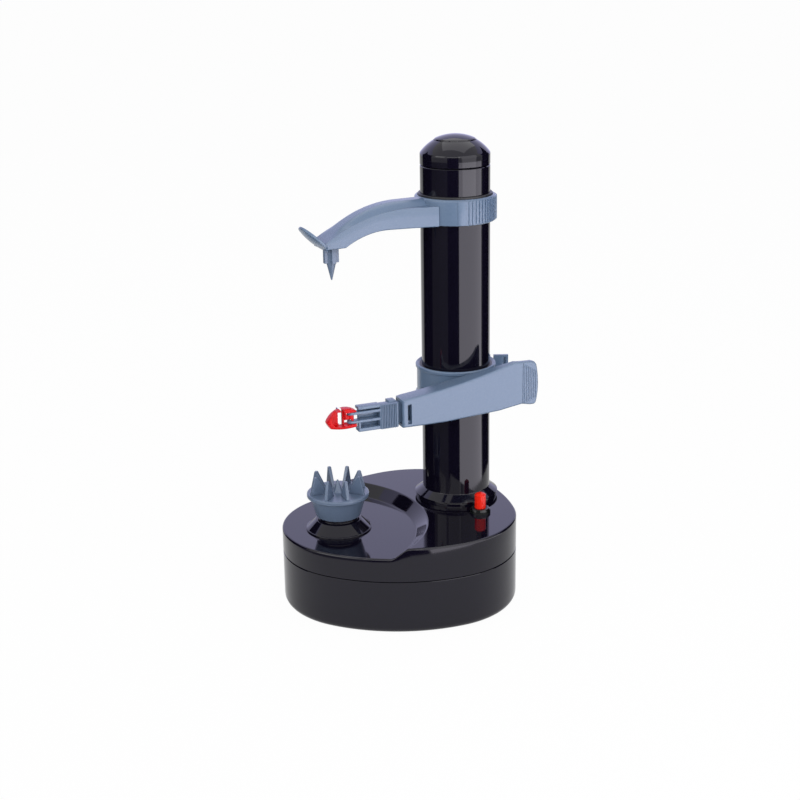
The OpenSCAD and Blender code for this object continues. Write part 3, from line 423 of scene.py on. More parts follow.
def metal(name, colour, roughness, streak=(4, 4, 600)):
    f = Finish(name)
    at = f.node("Mapping", Vector=f.place(), Scale=streak)
    brushed = f.noise(30, 4, 0.6, at)
    return f.done(Base_Color=f.mix(brushed, colour, tuple(c * 0.82 for c in colour[:3]) + (1,)),
                  Metallic=1.0,
                  Roughness=brushed * 0.18 + (roughness - 0.09), Normal=f.bump(brushed, 0.1, 0.0001))


finishes["steel"] = metal("brightSteel", rgb(200, 201, 204), 0.26)
finishes["brass"] = metal("turnedBrass", rgb(212, 178, 110), 0.3)


def cellSleeve():
    f = Finish("cellSleeve")
    band = f.noise(60, 2)
    return f.done(Base_Color=f.mix(band, rgb(42, 62, 74), rgb(54, 76, 90)), Roughness=band * 0.1 + 0.28,
                  Metallic=0.3,
                  Normal=f.bump(band, 0.1, 0.0002))


def laminate():
    f = Finish("boardLaminate")
    weave = f.node("TexBrick", Vector=f.place(), Scale=900.0, out=1)
    return f.done(Base_Color=f.mix(weave, rgb(22, 92, 50), rgb(30, 108, 60)), Roughness=weave * 0.1 + 0.35,
                  Normal=f.bump(weave, 0.15, 0.0001))


finishes["cell"] = cellSleeve()
finishes["board"] = laminate()
print("finishes made")


def onTopArm(points):
    return turned(points, topAngle, columnAt)


def onBladeArm(points):
    return turned(points, bladeAngle, columnAt)


def asIs(points):
    return np.asarray(points, dtype=float).reshape(-1, 3)


# Two rounded shells on a three-cornered footprint, the upper one with a peel tray let into it
base = {"corners": ((12, 14.6), (-18.9, -9.8), (20.5, -10.8)), "cornerRadius": 54.2,
        "sideRadii": (185, 100, 125),
        "deck": 57.2, "parting": 35.2, "seam": 0.4, "bottom": 1.5, "bottomRound": 4.5, "edge": 1.3,
        "wall": 2.2,
        "trayAt": (-59.1, -25.3), "trayFloor": 50.6, "floorRadius": 70.4, "rimRadius": 77.6,
        "plinthRadius": 26.0, "plinthTop": 60.0}


def footprint(inset=0.0, step=2.0):
    a, b, c = (np.array(p, float) for p in base["corners"])
    rc = base["cornerRadius"]

    def sideCentre(p, q, r):
        middle, d = (p + q) / 2, np.linalg.norm(q - p)
        normal = np.array([q[1] - p[1], p[0] - q[0]]) / d
        return middle - normal * math.sqrt((r - rc) ** 2 - d * d / 4)

    def az(v):
        return math.degrees(math.atan2(v[1], v[0]))

    rab, rbc, rca = base["sideRadii"]
    ab, bc, ca = sideCentre(a, b, rab), sideCentre(b, c, rbc), sideCentre(c, a, rca)
    arcs = ((ab, rab, az(a - ab), az(b - ab)), (b, rc, az(b - ab), az(b - bc)),
            (bc, rbc, az(b - bc), az(c - bc)),
            (c, rc, az(c - bc), az(c - ca)), (ca, rca, az(c - ca), az(a - ca)),
            (a, rc, az(a - ca), az(a - ab)))
    points = []
    for centre, r, start, end in arcs:
        sweep = (end - start) % 360
        count = math.ceil(sweep / step)
        for i in range(count):
            t = math.radians(start + sweep * i / count)
            points.append(centre + (r - inset - 0.09) * np.array([math.cos(t), math.sin(t)]))
    return np.array(points)


def flatRing(inset, z, step=2.0):
    return [(x, y, z) for x, y in footprint(inset, step)]


def traySurface(r, under=0.0):
    # height of the upper shell's skin at distance r from the tray's centre
    low, high, r0, r1 = base["trayFloor"], base["deck"], base["floorRadius"], base["rimRadius"]
    fillet, slope = 1.1, (high - low) / (r1 - r0)
    z = np.clip(low + (np.asarray(r, float) - r0) * slope, low, high)
    reach = fillet * math.tan(math.atan(slope) / 2)
    for at, level, sign in ((r0, low, 1), (r1, high, -1)):
        s = (np.asarray(r, float) - at) * sign
        blendZone = np.abs(s) < reach
        u = np.clip((s + reach) / (2 * reach), 0, 1)
        z = np.where(blendZone, level + sign * slope * reach * u * u, z)
    return z - under


def makeUpperShell():
    centre = np.array(base["trayAt"], float)
    rays = np.linspace(-math.pi, math.pi, 481)[:-1]

    def reachOf(loop, t):
        a = np.unwrap(np.arctan2(loop[:, 1] - centre[1], loop[:, 0] - centre[0]))
        r = np.hypot(loop[:, 0] - centre[0], loop[:, 1] - centre[1])
        a, r = np.append(a, a[0] + 2 * math.pi), np.append(r, r[0])
        return np.interp((t - a[0]) % (2 * math.pi) + a[0], a, r)

    edge, wall = base["edge"], base["wall"]
    arc = [math.radians(d) for d in (0, 15, 30, 45, 60, 75, 90)]
    insets = [edge * (1 - math.sin(d)) for d in arc]
    drops = [edge * (1 - math.cos(d)) for d in arc]
    reaches = [reachOf(footprint(i, 1.0), rays) for i in insets]
    r0, r1 = base["floorRadius"], base["rimRadius"]
    targets = [1, 25, 50, 66, r0 - 1.4, r0 - 0.7, r0 - 0.35, r0, r0 + 0.35, r0 + 0.7, r0 + 2.5, r1 - 2.5,
               r1 - 0.7, r1 - 0.35, r1, r1 + 0.35, r1 + 0.7, r1 + 1.4, r1 + 12, r1 + 30, r1 + 50, 400]
    rings = []
    limit = reaches[0] - 0.01
    for k, target in enumerate(targets):
        share = limit - 0.25 * (len(targets) - 1 - k) * 0.02
        r = np.minimum(target, share)
        rings.append((r, traySurface(r)))
    for reach, drop in zip(reaches, drops):
        rings.append((reach, traySurface(reach) - drop))
    bottom = base["parting"] + base["seam"]
    side = reaches[-1]
    for z in (47, 40, bottom + 0.3):
        rings.append((side, np.full_like(side, z)))
    rings.append((reachOf(footprint(0.3, 1.0), rays), np.full_like(side, bottom)))
    inner = reachOf(footprint(wall, 1.0), rays)
    rings.append((inner, np.full_like(side, bottom)))
    for target in (400, r1 + 30, r1 + 2, r1, r0 + 1, r0, 50, 1):
        r = np.minimum(target, inner)
        rings.append((r, traySurface(r, wall)))
    verts = [(centre[0], centre[1], base["trayFloor"])]
    for r, z in rings:
        verts += [(centre[0] + q * math.cos(t), centre[1] + q * math.sin(t), h)
                  for q, t, h in zip(r, rays, z)]
    verts.append((centre[0], centre[1], base["trayFloor"] - wall))
    n = len(rays)
    faces = [[0, 1 + k, 1 + (k + 1) % n] for k in range(n)]
    for i in range(len(rings) - 1):
        for k in range(n):
            m = (k + 1) % n
            faces.append([1 + i * n + k, 1 + (i + 1) * n + k, 1 + (i + 1) * n + m, 1 + i * n + m])
    last = 1 + (len(rings) - 1) * n
    faces += [[last + k, len(verts) - 1, last + (k + 1) % n] for k in range(n)]
    shell = newPiece("upperShell", verts, faces, 25)
    r, top = base["plinthRadius"], base["plinthTop"]
    plinth = lathe("plinth", [(0, base["deck"] - 1), (r, base["deck"] - 1), (r, top - 0.6),
                              (r - 0.18, top - 0.18), (r - 0.6, top), (0, top)], columnAt, 128)
    return joined("upperShell", [shell, plinth], 25)


def makeLowerShell():
    z0, rounding, parting = base["bottom"], base["bottomRound"], base["parting"]
    rings = [flatRing(9, z0), flatRing(rounding + 0.6, z0)]
    for d in (0, 15, 30, 45, 60, 75, 90):
        a = math.radians(d)
        rings.append(flatRing(rounding * (1 - math.sin(a)), z0 + rounding * (1 - math.cos(a))))
    rings += [flatRing(0, 12), flatRing(0, 24), flatRing(0, parting - 0.3), flatRing(0.3, parting),
              flatRing(base["wall"], parting),
              flatRing(base["wall"], z0 + base["wall"] + 1), flatRing(base["wall"] + 1, z0 + base["wall"])]
    shell = loftRings("lowerShell", rings, 25)
    (lowX, lowY, _), (highX, highY, _) = (np.array(c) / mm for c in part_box("battery_door"))
    gap = 0.15
    door = block("doorHole", (lowX - gap, highX + gap), (lowY - gap, highY + 2.2), (z0 - 1, 3 * z0 + 1), 0,
                 asIs)
    cuts = [door]
    for spot in base["screwSpots"]:
        cuts.append(lathe("well", [(0, z0 - 1), (3.0, z0 - 1), (2.8, z0 + 0.4), (2.8, z0 + 6), (0, z0 + 6)],
                          spot, 32))
    for spot in base["footSpots"]:
        cuts.append(lathe("footWell", [(0, z0 - 1), (7.08, z0 - 1), (7.08, z0 + 0.8), (0, z0 + 0.8)], spot,
                          64))
    turn, at = math.radians(base["jackAngle"]), base["corners"][0]
    out = np.array([math.cos(turn), math.sin(turn), 0])
    near, far = (np.array([*at, base["jackHeight"]]) + out * (base["cornerRadius"] + d) for d in (-8, 4))
    cuts.append(rod("jackHole", 4.1, near, far, 0, asIs))
    return boolean(shell, cuts, sharp=25)


base.update({"screwSpots": ((-57, 17), (-45, -50), (58, -32), (64.5, 6), (-8, 55)),
             "footSpots": ((-48, -36), (42, -46), (53, 20), (-42, 28)),
             "jackAngle": 68, "jackHeight": 13})
upperShell = finishPiece(makeUpperShell(), "base", finishes["gloss"], ("base_top",))
lowerShell = finishPiece(makeLowerShell(), "base", finishes["gloss"], ("base_bottom",))
print("base shells made")


# Black column with its skirt, slot, domed cap and turning knob
column = {"radius": 21.5, "inner": 19.3, "skirt": 26.6, "skirtLow": 60.0, "skirtTop": 64.4, "top": 271.4,
          "slotAngle": 56, "slotWidth": 11.4, "slot": (92, 226),
          "capLow": 271.8, "capSphere": 26.5, "capSphereAt": 263.4, "recess": 12.9, "recessFloor": 284.6,
          "knob": 12.6, "knobSphere": 30, "knobTop": 290}


def domePath(sphere, at, start, end, steps=14):
    # (r, z) along a sphere from radius start to radius end
    low, high = math.asin(start / sphere), math.asin(end / sphere)
    return [(sphere * math.sin(low + (high - low) * i / steps),
             at + sphere * math.cos(low + (high - low) * i / steps)) for i in range(steps + 1)]


def makeColumn():
    c = column
    profile = roundPath([(c["inner"], 51), (c["radius"] - 0.1, 51),
                         (c["radius"] - 0.1, c["skirtLow"] + 0.01),
                         (c["skirt"] - 0.2, c["skirtLow"] + 0.01), (c["skirt"], c["skirtLow"] + 0.2),
                         (c["skirt"], c["skirtLow"] + 0.6, 0.3),
                         (c["radius"], c["skirtTop"], 0.7), (c["radius"], 150),
                         (c["radius"], c["top"] - 0.4), (c["radius"] - 0.4, c["top"]),
                         (c["inner"], c["top"])])
    tube = lathe("columnTube", profile, columnAt, 160, closed=True, sharp=28)
    x0, x1 = c["inner"] - 3, c["radius"] + 3
    half = c["slotWidth"] / 2
    loop = roundPath([(-half, c["slot"][0], 2.2), (half, c["slot"][0], 2.2), (half, c["slot"][1], 2.2),
                      (-half, c["slot"][1], 2.2)], True, 6)
    rings = [turned([(x, y, z) for y, z in loop], c["slotAngle"], columnAt) for x in (x0, x1)]
    return boolean(tube, [loftRings("slotCut", rings)], sharp=28)


def makeCap():
    c = column
    shoulder = c["capSphereAt"] + math.sqrt(c["capSphere"] ** 2 - c["radius"] ** 2)
    rim = c["capSphereAt"] + math.sqrt(c["capSphere"] ** 2 - c["recess"] ** 2)
    dome = domePath(c["capSphere"], c["capSphereAt"], c["radius"] - 0.35, c["recess"] + 0.3)
    profile = [(0, c["capLow"]), (c["radius"] - 0.4, c["capLow"]), (c["radius"], c["capLow"] + 0.4),
               (c["radius"], (c["capLow"] + shoulder) / 2), (c["radius"], shoulder - 0.5),
               (c["radius"] - 0.1, shoulder + 0.02)]
    profile += dome + [(c["recess"] + 0.05, rim - 0.02), (c["recess"], rim - 0.3),
                       (c["recess"], c["recessFloor"]), (0, c["recessFloor"])]
    return lathe("columnCap", profile, columnAt, 160, sharp=28)


def makeKnob():
    c = column
    at = c["knobTop"] - c["knobSphere"]
    edge = at + math.sqrt(c["knobSphere"] ** 2 - c["knob"] ** 2)
    profile = [(0, c["recessFloor"] + 0.05), (c["knob"], c["recessFloor"] + 0.05), (c["knob"], edge - 0.5),
               (c["knob"] - 0.12, edge - 0.1)]
    profile += domePath(c["knobSphere"], at, c["knob"] - 0.5, 0.0, 12)
    return lathe("capKnob", profile, columnAt, 128, sharp=28)


columnTube = finishPiece(makeColumn(), "base", finishes["gloss"], ("column_tube",))
columnCap = finishPiece(makeCap(), "base", finishes["gloss"], ("column_cap",))
capKnob = finishPiece(makeKnob(), "base", finishes["gloss"], ("cap_knob",))
print("column made")


# Geometry Nodes trees for what repeats: a straight row and a ring around an upright axis
def repeatTree(name, ring):
    tree = bpy.data.node_groups.new(name, "GeometryNodeTree")
    wanted = [("Count", "NodeSocketInt"), ("Shape", "NodeSocketObject"), ("Finish", "NodeSocketMaterial")]
    wanted += [("Start", "NodeSocketFloat"), ("Step", "NodeSocketFloat"),
               ("Centre", "NodeSocketVector")] if ring else [("Start", "NodeSocketVector"),
               ("Step", "NodeSocketVector"), ("Turn", "NodeSocketFloat")]
    for label, kind in wanted:
        tree.interface.new_socket(label, in_out="INPUT", socket_type=kind)
    tree.interface.new_socket("Geometry", in_out="OUTPUT", socket_type="NodeSocketGeometry")
    link = tree.links.new

    def add(kind, **settings):
        node = tree.nodes.new(kind)
        for key, value in settings.items():
            setattr(node, key, value)
        return node

    given = add("NodeGroupInput").outputs
    result = add("NodeGroupOutput")
    line = add("GeometryNodeMeshLine", mode="OFFSET")
    link(given["Count"], line.inputs["Count"])
    shape = add("GeometryNodeObjectInfo", transform_space="ORIGINAL")
    link(given["Shape"], shape.inputs["Object"])
    placed = add("GeometryNodeInstanceOnPoints")
    link(shape.outputs["Geometry"], placed.inputs["Instance"])
    link(line.outputs[0], placed.inputs["Points"])
    if ring:
        line.inputs["Offset"].default_value = (0, 0, 0)
        turn = add("ShaderNodeMath", operation="MULTIPLY_ADD")
        link(add("GeometryNodeInputIndex").outputs[0], turn.inputs[0])
        link(given["Step"], turn.inputs[1])
        link(given["Start"], turn.inputs[2])
        angles = add("ShaderNodeCombineXYZ")
        link(turn.outputs[0], angles.inputs["Z"])
        link(angles.outputs[0], placed.inputs["Rotation"])
        moved = add("GeometryNodeSetPosition")
        link(placed.outputs[0], moved.inputs["Geometry"])
        link(given["Centre"], moved.inputs["Offset"])
        source = moved.outputs[0]
    else:
        link(given["Start"], line.inputs["Start Location"])
        link(given["Step"], line.inputs["Offset"])
        angles = add("ShaderNodeCombineXYZ")
        link(given["Turn"], angles.inputs["Z"])
        link(angles.outputs[0], placed.inputs["Rotation"])
        source = placed.outputs[0]
    real = add("GeometryNodeRealizeInstances")
    link(source, real.inputs[0])
    coloured = add("GeometryNodeSetMaterial")
    link(real.outputs[0], coloured.inputs["Geometry"])
    link(given["Finish"], coloured.inputs["Material"])
    link(coloured.outputs[0], result.inputs[0])
    return tree


rowTree, ringTree = repeatTree("straightRow", False), repeatTree("ringAround", True)


def repeated(name, tree, values, sharp=32):
    # shape is an object around the origin in metres; the result is one plain mesh
    holder = bpy.data.objects.new(name, bpy.data.meshes.new(name))
    bpy.context.collection.objects.link(holder)
    modifier = holder.modifiers.new("repeat", "NODES")
    modifier.node_group = tree
    for item in tree.interface.items_tree:
        if item.in_out == "INPUT" and item.name in values:
            modifier[item.identifier] = values[item.name]
    bpy.context.view_layer.update()
    applied(holder)
    bpy.data.objects.remove(values["Shape"])
    holder.data.shade_smooth()
    holder.data.set_sharp_from_angle(angle=math.radians(sharp))
    return holder


# Turntable: fixed hub cone, cup and flange, eight upright prongs and a centre pin
holder = {"cupLow": 59.6, "cupRadii": (13.9, 17.3), "flangeLow": 71.9, "flangeTop": 74.7,
          "flangeRadius": 19.4, "prongs": 8, "prongThickness": 2, "prongHeight": 11.5,
          "hubRim": 20.5, "hubLow": 50.6, "hubTop": 57.3, "neck": 12, "neckTop": 59.3}


def makeHub():
    h = holder
    profile = roundPath([(4.1, h["hubLow"]), (h["hubRim"], h["hubLow"]),
                         (h["hubRim"], h["hubLow"] + 0.8, 0.3), (19.9, h["hubLow"] + 1.0, 0.5),
                         (14.3, h["hubTop"] - 0.2, 0.4), (13.8, h["hubTop"]), (h["neck"], h["hubTop"], 0.3),
                         (h["neck"], h["neckTop"] - 0.2), (h["neck"] - 0.2, h["neckTop"]),
                         (4.1, h["neckTop"])])
    return lathe("hubCone", profile, turntableAt, 128, closed=True, sharp=24)


def makeHolder():
    h = holder
    r0, r1 = h["cupRadii"]
    profile = [(0, h["cupLow"]), (6.3, h["cupLow"]), (6.4, h["cupLow"] + 8.9), (12.0, h["cupLow"] + 8.9),
               (12.2, h["cupLow"])]
    profile += roundPath([(12.2, h["cupLow"]), (r0, h["cupLow"], 0.4), (r1, h["flangeLow"] - 0.6, 0.8),
                          (h["flangeRadius"] - 0.5, h["flangeLow"]),
                          (h["flangeRadius"], h["flangeLow"] + 0.4, 0.4),
                          (h["flangeRadius"], h["flangeTop"] - 0.7, 0.5),
                          (h["flangeRadius"] - 0.7, h["flangeTop"], 0.5), (3.4, h["flangeTop"], 0.5),
                          (2.8, h["flangeTop"] + 0.8, 0.6), (0.5, h["flangeTop"] + 7.6, 0.3),
                          (0, h["flangeTop"] + 7.9)])
    return lathe("foodCup", profile, turntableAt, 128, sharp=30)


def makeProngs():
    h = holder
    rim, up = h["flangeRadius"] - 1.4, h["prongHeight"]
    loop = roundPath([(7.5, 0.0), (rim, 0.0), (rim, 0.6, 0.3), (15.4, up - 0.05, 0.3),
                      (13.8, up - 0.05, 0.3)], True, 4)[::-1]
    loop = loop if sum(a[0] * b[1] - b[0] * a[1]
                       for a, b in zip(loop, loop[1:] + loop[:1])) > 0 else loop[::-1]
    t = h["prongThickness"] / 2
    prong = cushionedSlab("prong", loop, -t, t, 0.3, asIs)
    work = holder["flangeTop"] - 0.02
    values = {"Count": h["prongs"], "Shape": prong, "Finish": finishes["slate"],
              "Start": math.pi / h["prongs"], "Step": 2 * math.pi / h["prongs"],
              "Centre": (turntableAt[0] * mm, turntableAt[1] * mm, work * mm)}
    return repeated("prongs", ringTree, values)


hubCone = finishPiece(makeHub(), "base", finishes["gloss"], ("hub_cone",))
foodCup = finishPiece(makeHolder(), "turntable", finishes["slate"], ("prong_holder",))
prongs = finishPiece(makeProngs(), "turntable", finishes["slate"], ("prong_fins",))
print("turntable made")


# Start button in its notched bezel
switch = {"radius": 3.5, "top": 70.3, "dome": 4.9, "bezelRadius": 6.5, "bezelTop": 60.3, "notches": 6}


def makeButton():
    s = switch
    low = heightsOf("push_button")[0]
    shoulder = s["top"] - s["dome"] + math.sqrt(s["dome"] ** 2 - (s["radius"] - 0.25) ** 2)
    profile = [(0, low), (1.6, low), (1.6, low + 1.5), (6, low + 1.5), (6, low + 3.3),
               (s["radius"], low + 3.3), (s["radius"], shoulder - 0.5),
               (s["radius"] - 0.07, shoulder - 0.15)]
    return lathe("startButton", profile + domePath(s["dome"], s["top"] - s["dome"], s["radius"] - 0.25, 0,
                                                   12), buttonAt, 64, sharp=30)


def makeBezel():
    s = switch
    bore, deck = s["radius"] + 0.06, base["deck"]
    profile = [(bore, deck - 4), (5.1, deck - 4), (5.1, deck - 0.5), (s["bezelRadius"], deck - 0.02)]
    profile += roundPath([(s["bezelRadius"], deck - 0.02), (s["bezelRadius"], deck + 1.9, 0.7),
                          (5.5, s["bezelTop"] - 0.1, 0.5), (bore + 0.3, s["bezelTop"]),
                          (bore, s["bezelTop"] - 0.4)])
    ring = lathe("bezel", profile, buttonAt, 96, closed=True, sharp=28)
    cuts = []
    for i in range(s["notches"]):
        loop = roundPath([(-1.3, 0), (1.3, 0), (1.0, 4), (-1.0, 4)], True, 3)
        a = 60 * i + 15
        rings = [turned([(x, y, deck + 1.0 + z) for y, z in loop], a, buttonAt) for x in (5.6, 8)]
        cuts.append(loftRings("notch", rings))
    return boolean(ring, cuts, sharp=28)


def makeButtonSpring(wire=0.35, turns=3, steps=108):
    low, high = heightsOf("button_spring")
    rings = []
    for i in range(steps + 1):
        a, z = 2 * math.pi * turns * i / steps, low + wire + (high - low - 2 * wire) * i / steps
        around = [2 * math.pi * k / 10 for k in range(10)]
        rings.append([(buttonAt[0] + (4.6 + wire * math.cos(b)) * math.cos(a),
                       buttonAt[1] + (4.6 + wire * math.cos(b)) * math.sin(a), z + wire * math.sin(b))
                       for b in around])
    return loftRings("buttonSpring", rings)


startButton = finishPiece(makeButton(), "button", finishes["button"], ("push_button",))
bezel = finishPiece(makeBezel(), "base", finishes["bezel"], ("switch_bezel",))
buttonSpring = finishPiece(makeButtonSpring(), "base", finishes["steel"], ("button_spring",))
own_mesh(buttonSpring)
print("button made")


# Sliding top arm: collar with fine grip ribs, crowned arm, thumb dish
topArm = {"collarRadius": 25, "bore": 22.95, "low": 238.0, "top": 253.6, "start": 20, "end": 91.5,
          "width": 17, "crownWidth": 7, "ribs": 36, "ribStep": 5.5, "ribStart": 81,
          "dishRadius": 11, "dishAt": (95.8, 234.8), "dishTilt": -43.6, "dishSpheres": (40.0, 38.5),
          "bandAngle": 70.4}


def fallingArc(x, x0, top, r):
    return top if x < x0 else top - r + math.sqrt(r * r - (x - x0) ** 2)


def armSection(x):
    # cross-section loop (y, z) of the top arm at distance x from the column's axis
    shoulder = fallingArc(x, 34, topArm["top"] - 3.8, 110)
    crown = max(shoulder + 0.05, fallingArc(x, 40, topArm["top"] - 0.2, 72))
    under = max(topArm["top"] - 24, fallingArc(x, 50, topArm["low"] - 0.4, 54))
    flare = 8.4 * (max(0, 58 - x) / 41) ** 1.4
    w, c = topArm["width"] / 2 + flare, topArm["crownWidth"] / 2
    rise = crown - shoulder
    right = [(w - 0.5, under), (w, under + 0.5), (w, (under + shoulder) / 2), (w, shoulder - 0.35),
             (w - 0.12, shoulder - 0.08), (w - 0.5, shoulder)]
    ledge = topArm["width"] / 2 - 0.5
    for t in (0.0, 0.2, 0.4, 0.6, 0.8, 1.0):
        right.append((ledge - 0.02 + (c - ledge) * t,
                      shoulder + rise * math.sin(t * math.pi / 2) ** 1.15 + 0.001))
    right.append((c * 0.5, crown + 0.0))
    return right + [(-y, z) for y, z in right[::-1]]


def makeTopArm():
    a = topArm
    xs = np.linspace(a["start"], a["end"], 44)
    rings = [onTopArm([(x, y, z) for y, z in armSection(x)]) for x in xs]
    bar = loftRings("armBar", rings, 30)
    channel = []
    for x in np.linspace(27, 79, 14):
        top = fallingArc(x, 34, a["top"] - 6.2, 110)
        half = a["width"] / 2 - 2
        channel.append(onTopArm([(x, half, 215), (x, half, top - 0.8), (x, half - 0.8, top),
                                 (x, -half + 0.8, top), (x, -half, top - 0.8), (x, -half, 215)]))
    cuts = [loftRings("channel", channel)]
    for r, z0, z1 in ((2.05, a["top"] - 26, a["top"] - 17.6), (3.1, a["top"] - 20.2, a["top"] - 18.8)):
        cuts.append(lathe("bearing", [(0, z0), (r, z0), (r, z1), (0, z1)], turntableAt, 32))
    bar = boolean(bar, cuts, sharp=30)
    low, top, r = a["low"], a["top"], a["collarRadius"]
    ring = lathe("collar", roundPath([(a["bore"], low), (r - 0.4, low), (r, low + 0.4, 0.4),
                                      (r, top - 0.9, 0.6), (r - 0.9, top, 0.6), (a["bore"] + 0.3, top),
                                      (a["bore"], top - 0.3)]), columnAt, 160, closed=True, sharp=28)
    core = lathe("core", [(0, low - 30), (a["bore"], low - 30), (a["bore"], top + 20), (0, top + 20)],
                 columnAt, 160)
    bar = boolean(bar, [core], sharp=30)
    tilt = math.radians(a["dishTilt"])
    c, s = math.cos(tilt), math.sin(tilt)
    r = a["dishRadius"]
    outer, inner = a["dishSpheres"]
    dish = [(rr, inner - math.sqrt(outer ** 2 - rr ** 2)) for rr in np.linspace(0, r - 0.2, 10)]
    dish += [(r, inner - math.sqrt(outer ** 2 - r ** 2) + 0.25),
             (r, inner - math.sqrt(inner ** 2 - r ** 2) - 0.3)]
    dish += [(rr, inner - math.sqrt(inner ** 2 - rr ** 2)) for rr in np.linspace(r - 0.3, 0, 10)]
    plate = lathe("thumbDish", dish, (0, 0), 96, sharp=40)
    points = np.array([v.co[:] for v in plate.data.vertices]) / mm
    local = np.stack([a["dishAt"][0] + c * points[:, 0] + s * points[:, 2], points[:, 1],
                      a["dishAt"][1] - s * points[:, 0] + c * points[:, 2]], 1)
    for v, p in zip(plate.data.vertices, onTopArm(local) * mm):
        v.co = p
    plate = boolean(plate, [lathe("spikeRoom", [(0, 210), (5.6, 210), (5.6, a["top"] - 24.05),
                                                (0, a["top"] - 24.05)], turntableAt, 64)], sharp=40)
    band = block("collarBand", (r + 13, a["collarRadius"] + 0.28), (-2.6, 2.6), (low + 0.4, top - 0.5),
                 0.15, lambda p: turned(p, topAngle + a["bandAngle"], columnAt))
    rib = cushionedSlab("rib",
                        roundPath([(topArm["collarRadius"] - 0.6, 0),
                                   (topArm["collarRadius"] + 0.6, 0, 0.3),
                                   (topArm["collarRadius"] + 0.6, 14.2, 0.3),
                                   (topArm["collarRadius"] - 0.6, 14.2)], True, 3), -0.55, 0.55, 0.25, asIs)
    ribs = repeated("collarRibs", ringTree, {"Count": a["ribs"], "Shape": rib, "Finish": finishes["blue"],
                                             "Start": math.radians(topAngle + a["ribStart"]),
                                             "Step": math.radians(a["ribStep"]),
                                           "Centre": (columnAt[0] * mm, columnAt[1] * mm,
                                                      (low + 0.6) * mm)})
    return joined("topArm", [bar, ring, plate, band, ribs], 30)


def makeSpike():
    top = topArm["top"]
    profile = roundPath([(0, top - 44.1), (0.4, top - 44.0), (2.4, top - 35.6, 0.4), (2.9, top - 33.7),
                         (3.1, top - 33.6, 0.3), (3.1, top - 24.2), (2.0, top - 24.2), (2.0, top - 20.1),
                         (2.9, top - 20.1), (2.9, top - 19.0), (0, top - 19.0)])
    parts = [lathe("spikeCore", profile, turntableAt, 48, sharp=35)]
    for angle in (topAngle, topAngle + 90):
        parts.append(block("wing", (-4.7, 4.7), (-1.4, 1.4), (top - 33.6, top - 24.25), 0.45, lambda p,
                           angle=angle: turned(p, angle, turntableAt)))
    return joined("topSpike", parts, 35)


topArmPiece = finishPiece(makeTopArm(), "top", finishes["blue"], ("top_arm",))
topSpike = finishPiece(makeSpike(), "spike", finishes["slate"], ("top_spike",))
liner = lathe("collarLiner",
              roundPath([(21.56, 237.4), (22.93, 237.4), (22.93, 254.5, 0.3), (22.6, 254.8),
                         (21.56, 254.8)]), columnAt, 160, closed=True, sharp=28)
collarLiner = finishPiece(liner, "top", finishes["plain"], ("collar_liner",))
print("top arm made")


# Carriage on the column with the blade arm's ears and the nut lever's lugs
carriage = {"radius": 24.6, "lip": 25.4, "bore": 22.9, "low": 126.5, "top": 146.7, "earLow": 130.1,
            "leverAngle": 50, "leverAt": 29.6, "windowAngle": 56}


def lugPlate(name, at, z, height, r, reach, angle):
    # flat ear from the ring out to a pin, round at its end
    length = math.hypot(*at)
    turn = math.degrees(math.atan2(at[1], at[0])) + angle
    loop = roundPath([(reach, -r), (length, -r), (length + r, -r, r), (length + r, r, r), (length, r),
                      (reach, r)], True, 8)
    rings = []
    for inset, level in ((0.35, 0), (0.1, 0.1), (0, 0.35), (0, height - 0.35), (0.1, height - 0.1),
                         (0.35, height)):
        rings.append(turned([(x, y, z + level) for x, y in offsetLoop(loop, inset)], turn, columnAt))
    return loftRings(name, rings, 32)


def makeCarriage():
    c = carriage
    low, top, r, lip = c["low"], c["top"], c["radius"], c["lip"]
    profile = roundPath([(c["bore"], low), (lip - 0.3, low), (lip, low + 0.3, 0.3), (lip, low + 1.5, 0.3),
                         (r, low + 1.9, 0.3), (r, top - 2.7, 0.3), (lip, top - 2.3, 0.3),
                         (lip, top - 0.6, 0.5), (lip - 0.7, top, 0.5), (c["bore"] + 1.2, top),
                         (c["bore"], top - 0.74)])
    ring = lathe("ring", profile, columnAt, 160, closed=True, sharp=28)
    window = block("window", (c["bore"] - 2, lip + 3), (-9, 7), (low + 4.6, low + 14.7), 0,
                   lambda p: turned(p, c["windowAngle"], columnAt))
    parts = [boolean(ring, [window], sharp=28)]
    for z in (c["earLow"], c["earLow"] + 10.4):
        parts.append(lugPlate("ear", (-8, 33), z, 2.6, 4, c["bore"] + 0.9, bladeAngle))
    for z in (low + 1.4, low + 14.9):
        at = (c["leverAt"] * math.cos(math.radians(c["leverAngle"])),
              c["leverAt"] * math.sin(math.radians(c["leverAngle"])))
        parts.append(lugPlate("leverLug", at, z, 3, 3.6, c["bore"] + 0.9, 0))
    return joined("carriageRing", parts, 30)


carriageRing = finishPiece(makeCarriage(), "carrier", finishes["blue"], ("carriage",))
leverPiece = finishPiece(dressed("nut_lever", "nutLever", 0.35), "release", finishes["blue"],
                         ("nut_lever",))
linerParts = [lathe("slideRing", roundPath([(21.56, z), (22.88, z), (22.88, z + 2.6), (21.56, z + 2.6)]),
                    columnAt, 160, closed=True, sharp=28) for z in (126.9, 143.3)]
carriageLiner = finishPiece(joined("carriageLiner", linerParts, 28), "carrier", finishes["plain"],
                            ("carriage_liner",))
print("carriage made")


# Blade arm: a curved channel with a thumb pad behind the pivot and a window before the cartridge
bladeArm = {"back": 28, "front": 40, "wall": 2, "tip": 52.6, "crestEnd": -22, "cartLow": 123.2,
            "cartHigh": 139.4, "edge": 1.1, "ribs": 7, "ribPitch": 1.25}


def crestPoint(t, drop=0.0):
    a = bladeArm
    return a["tip"] + (a["crestEnd"] - a["tip"]) * t, a["cartHigh"] - 0.2 - drop + 14.4 * t - 6.8 * t * (1 -
        t)


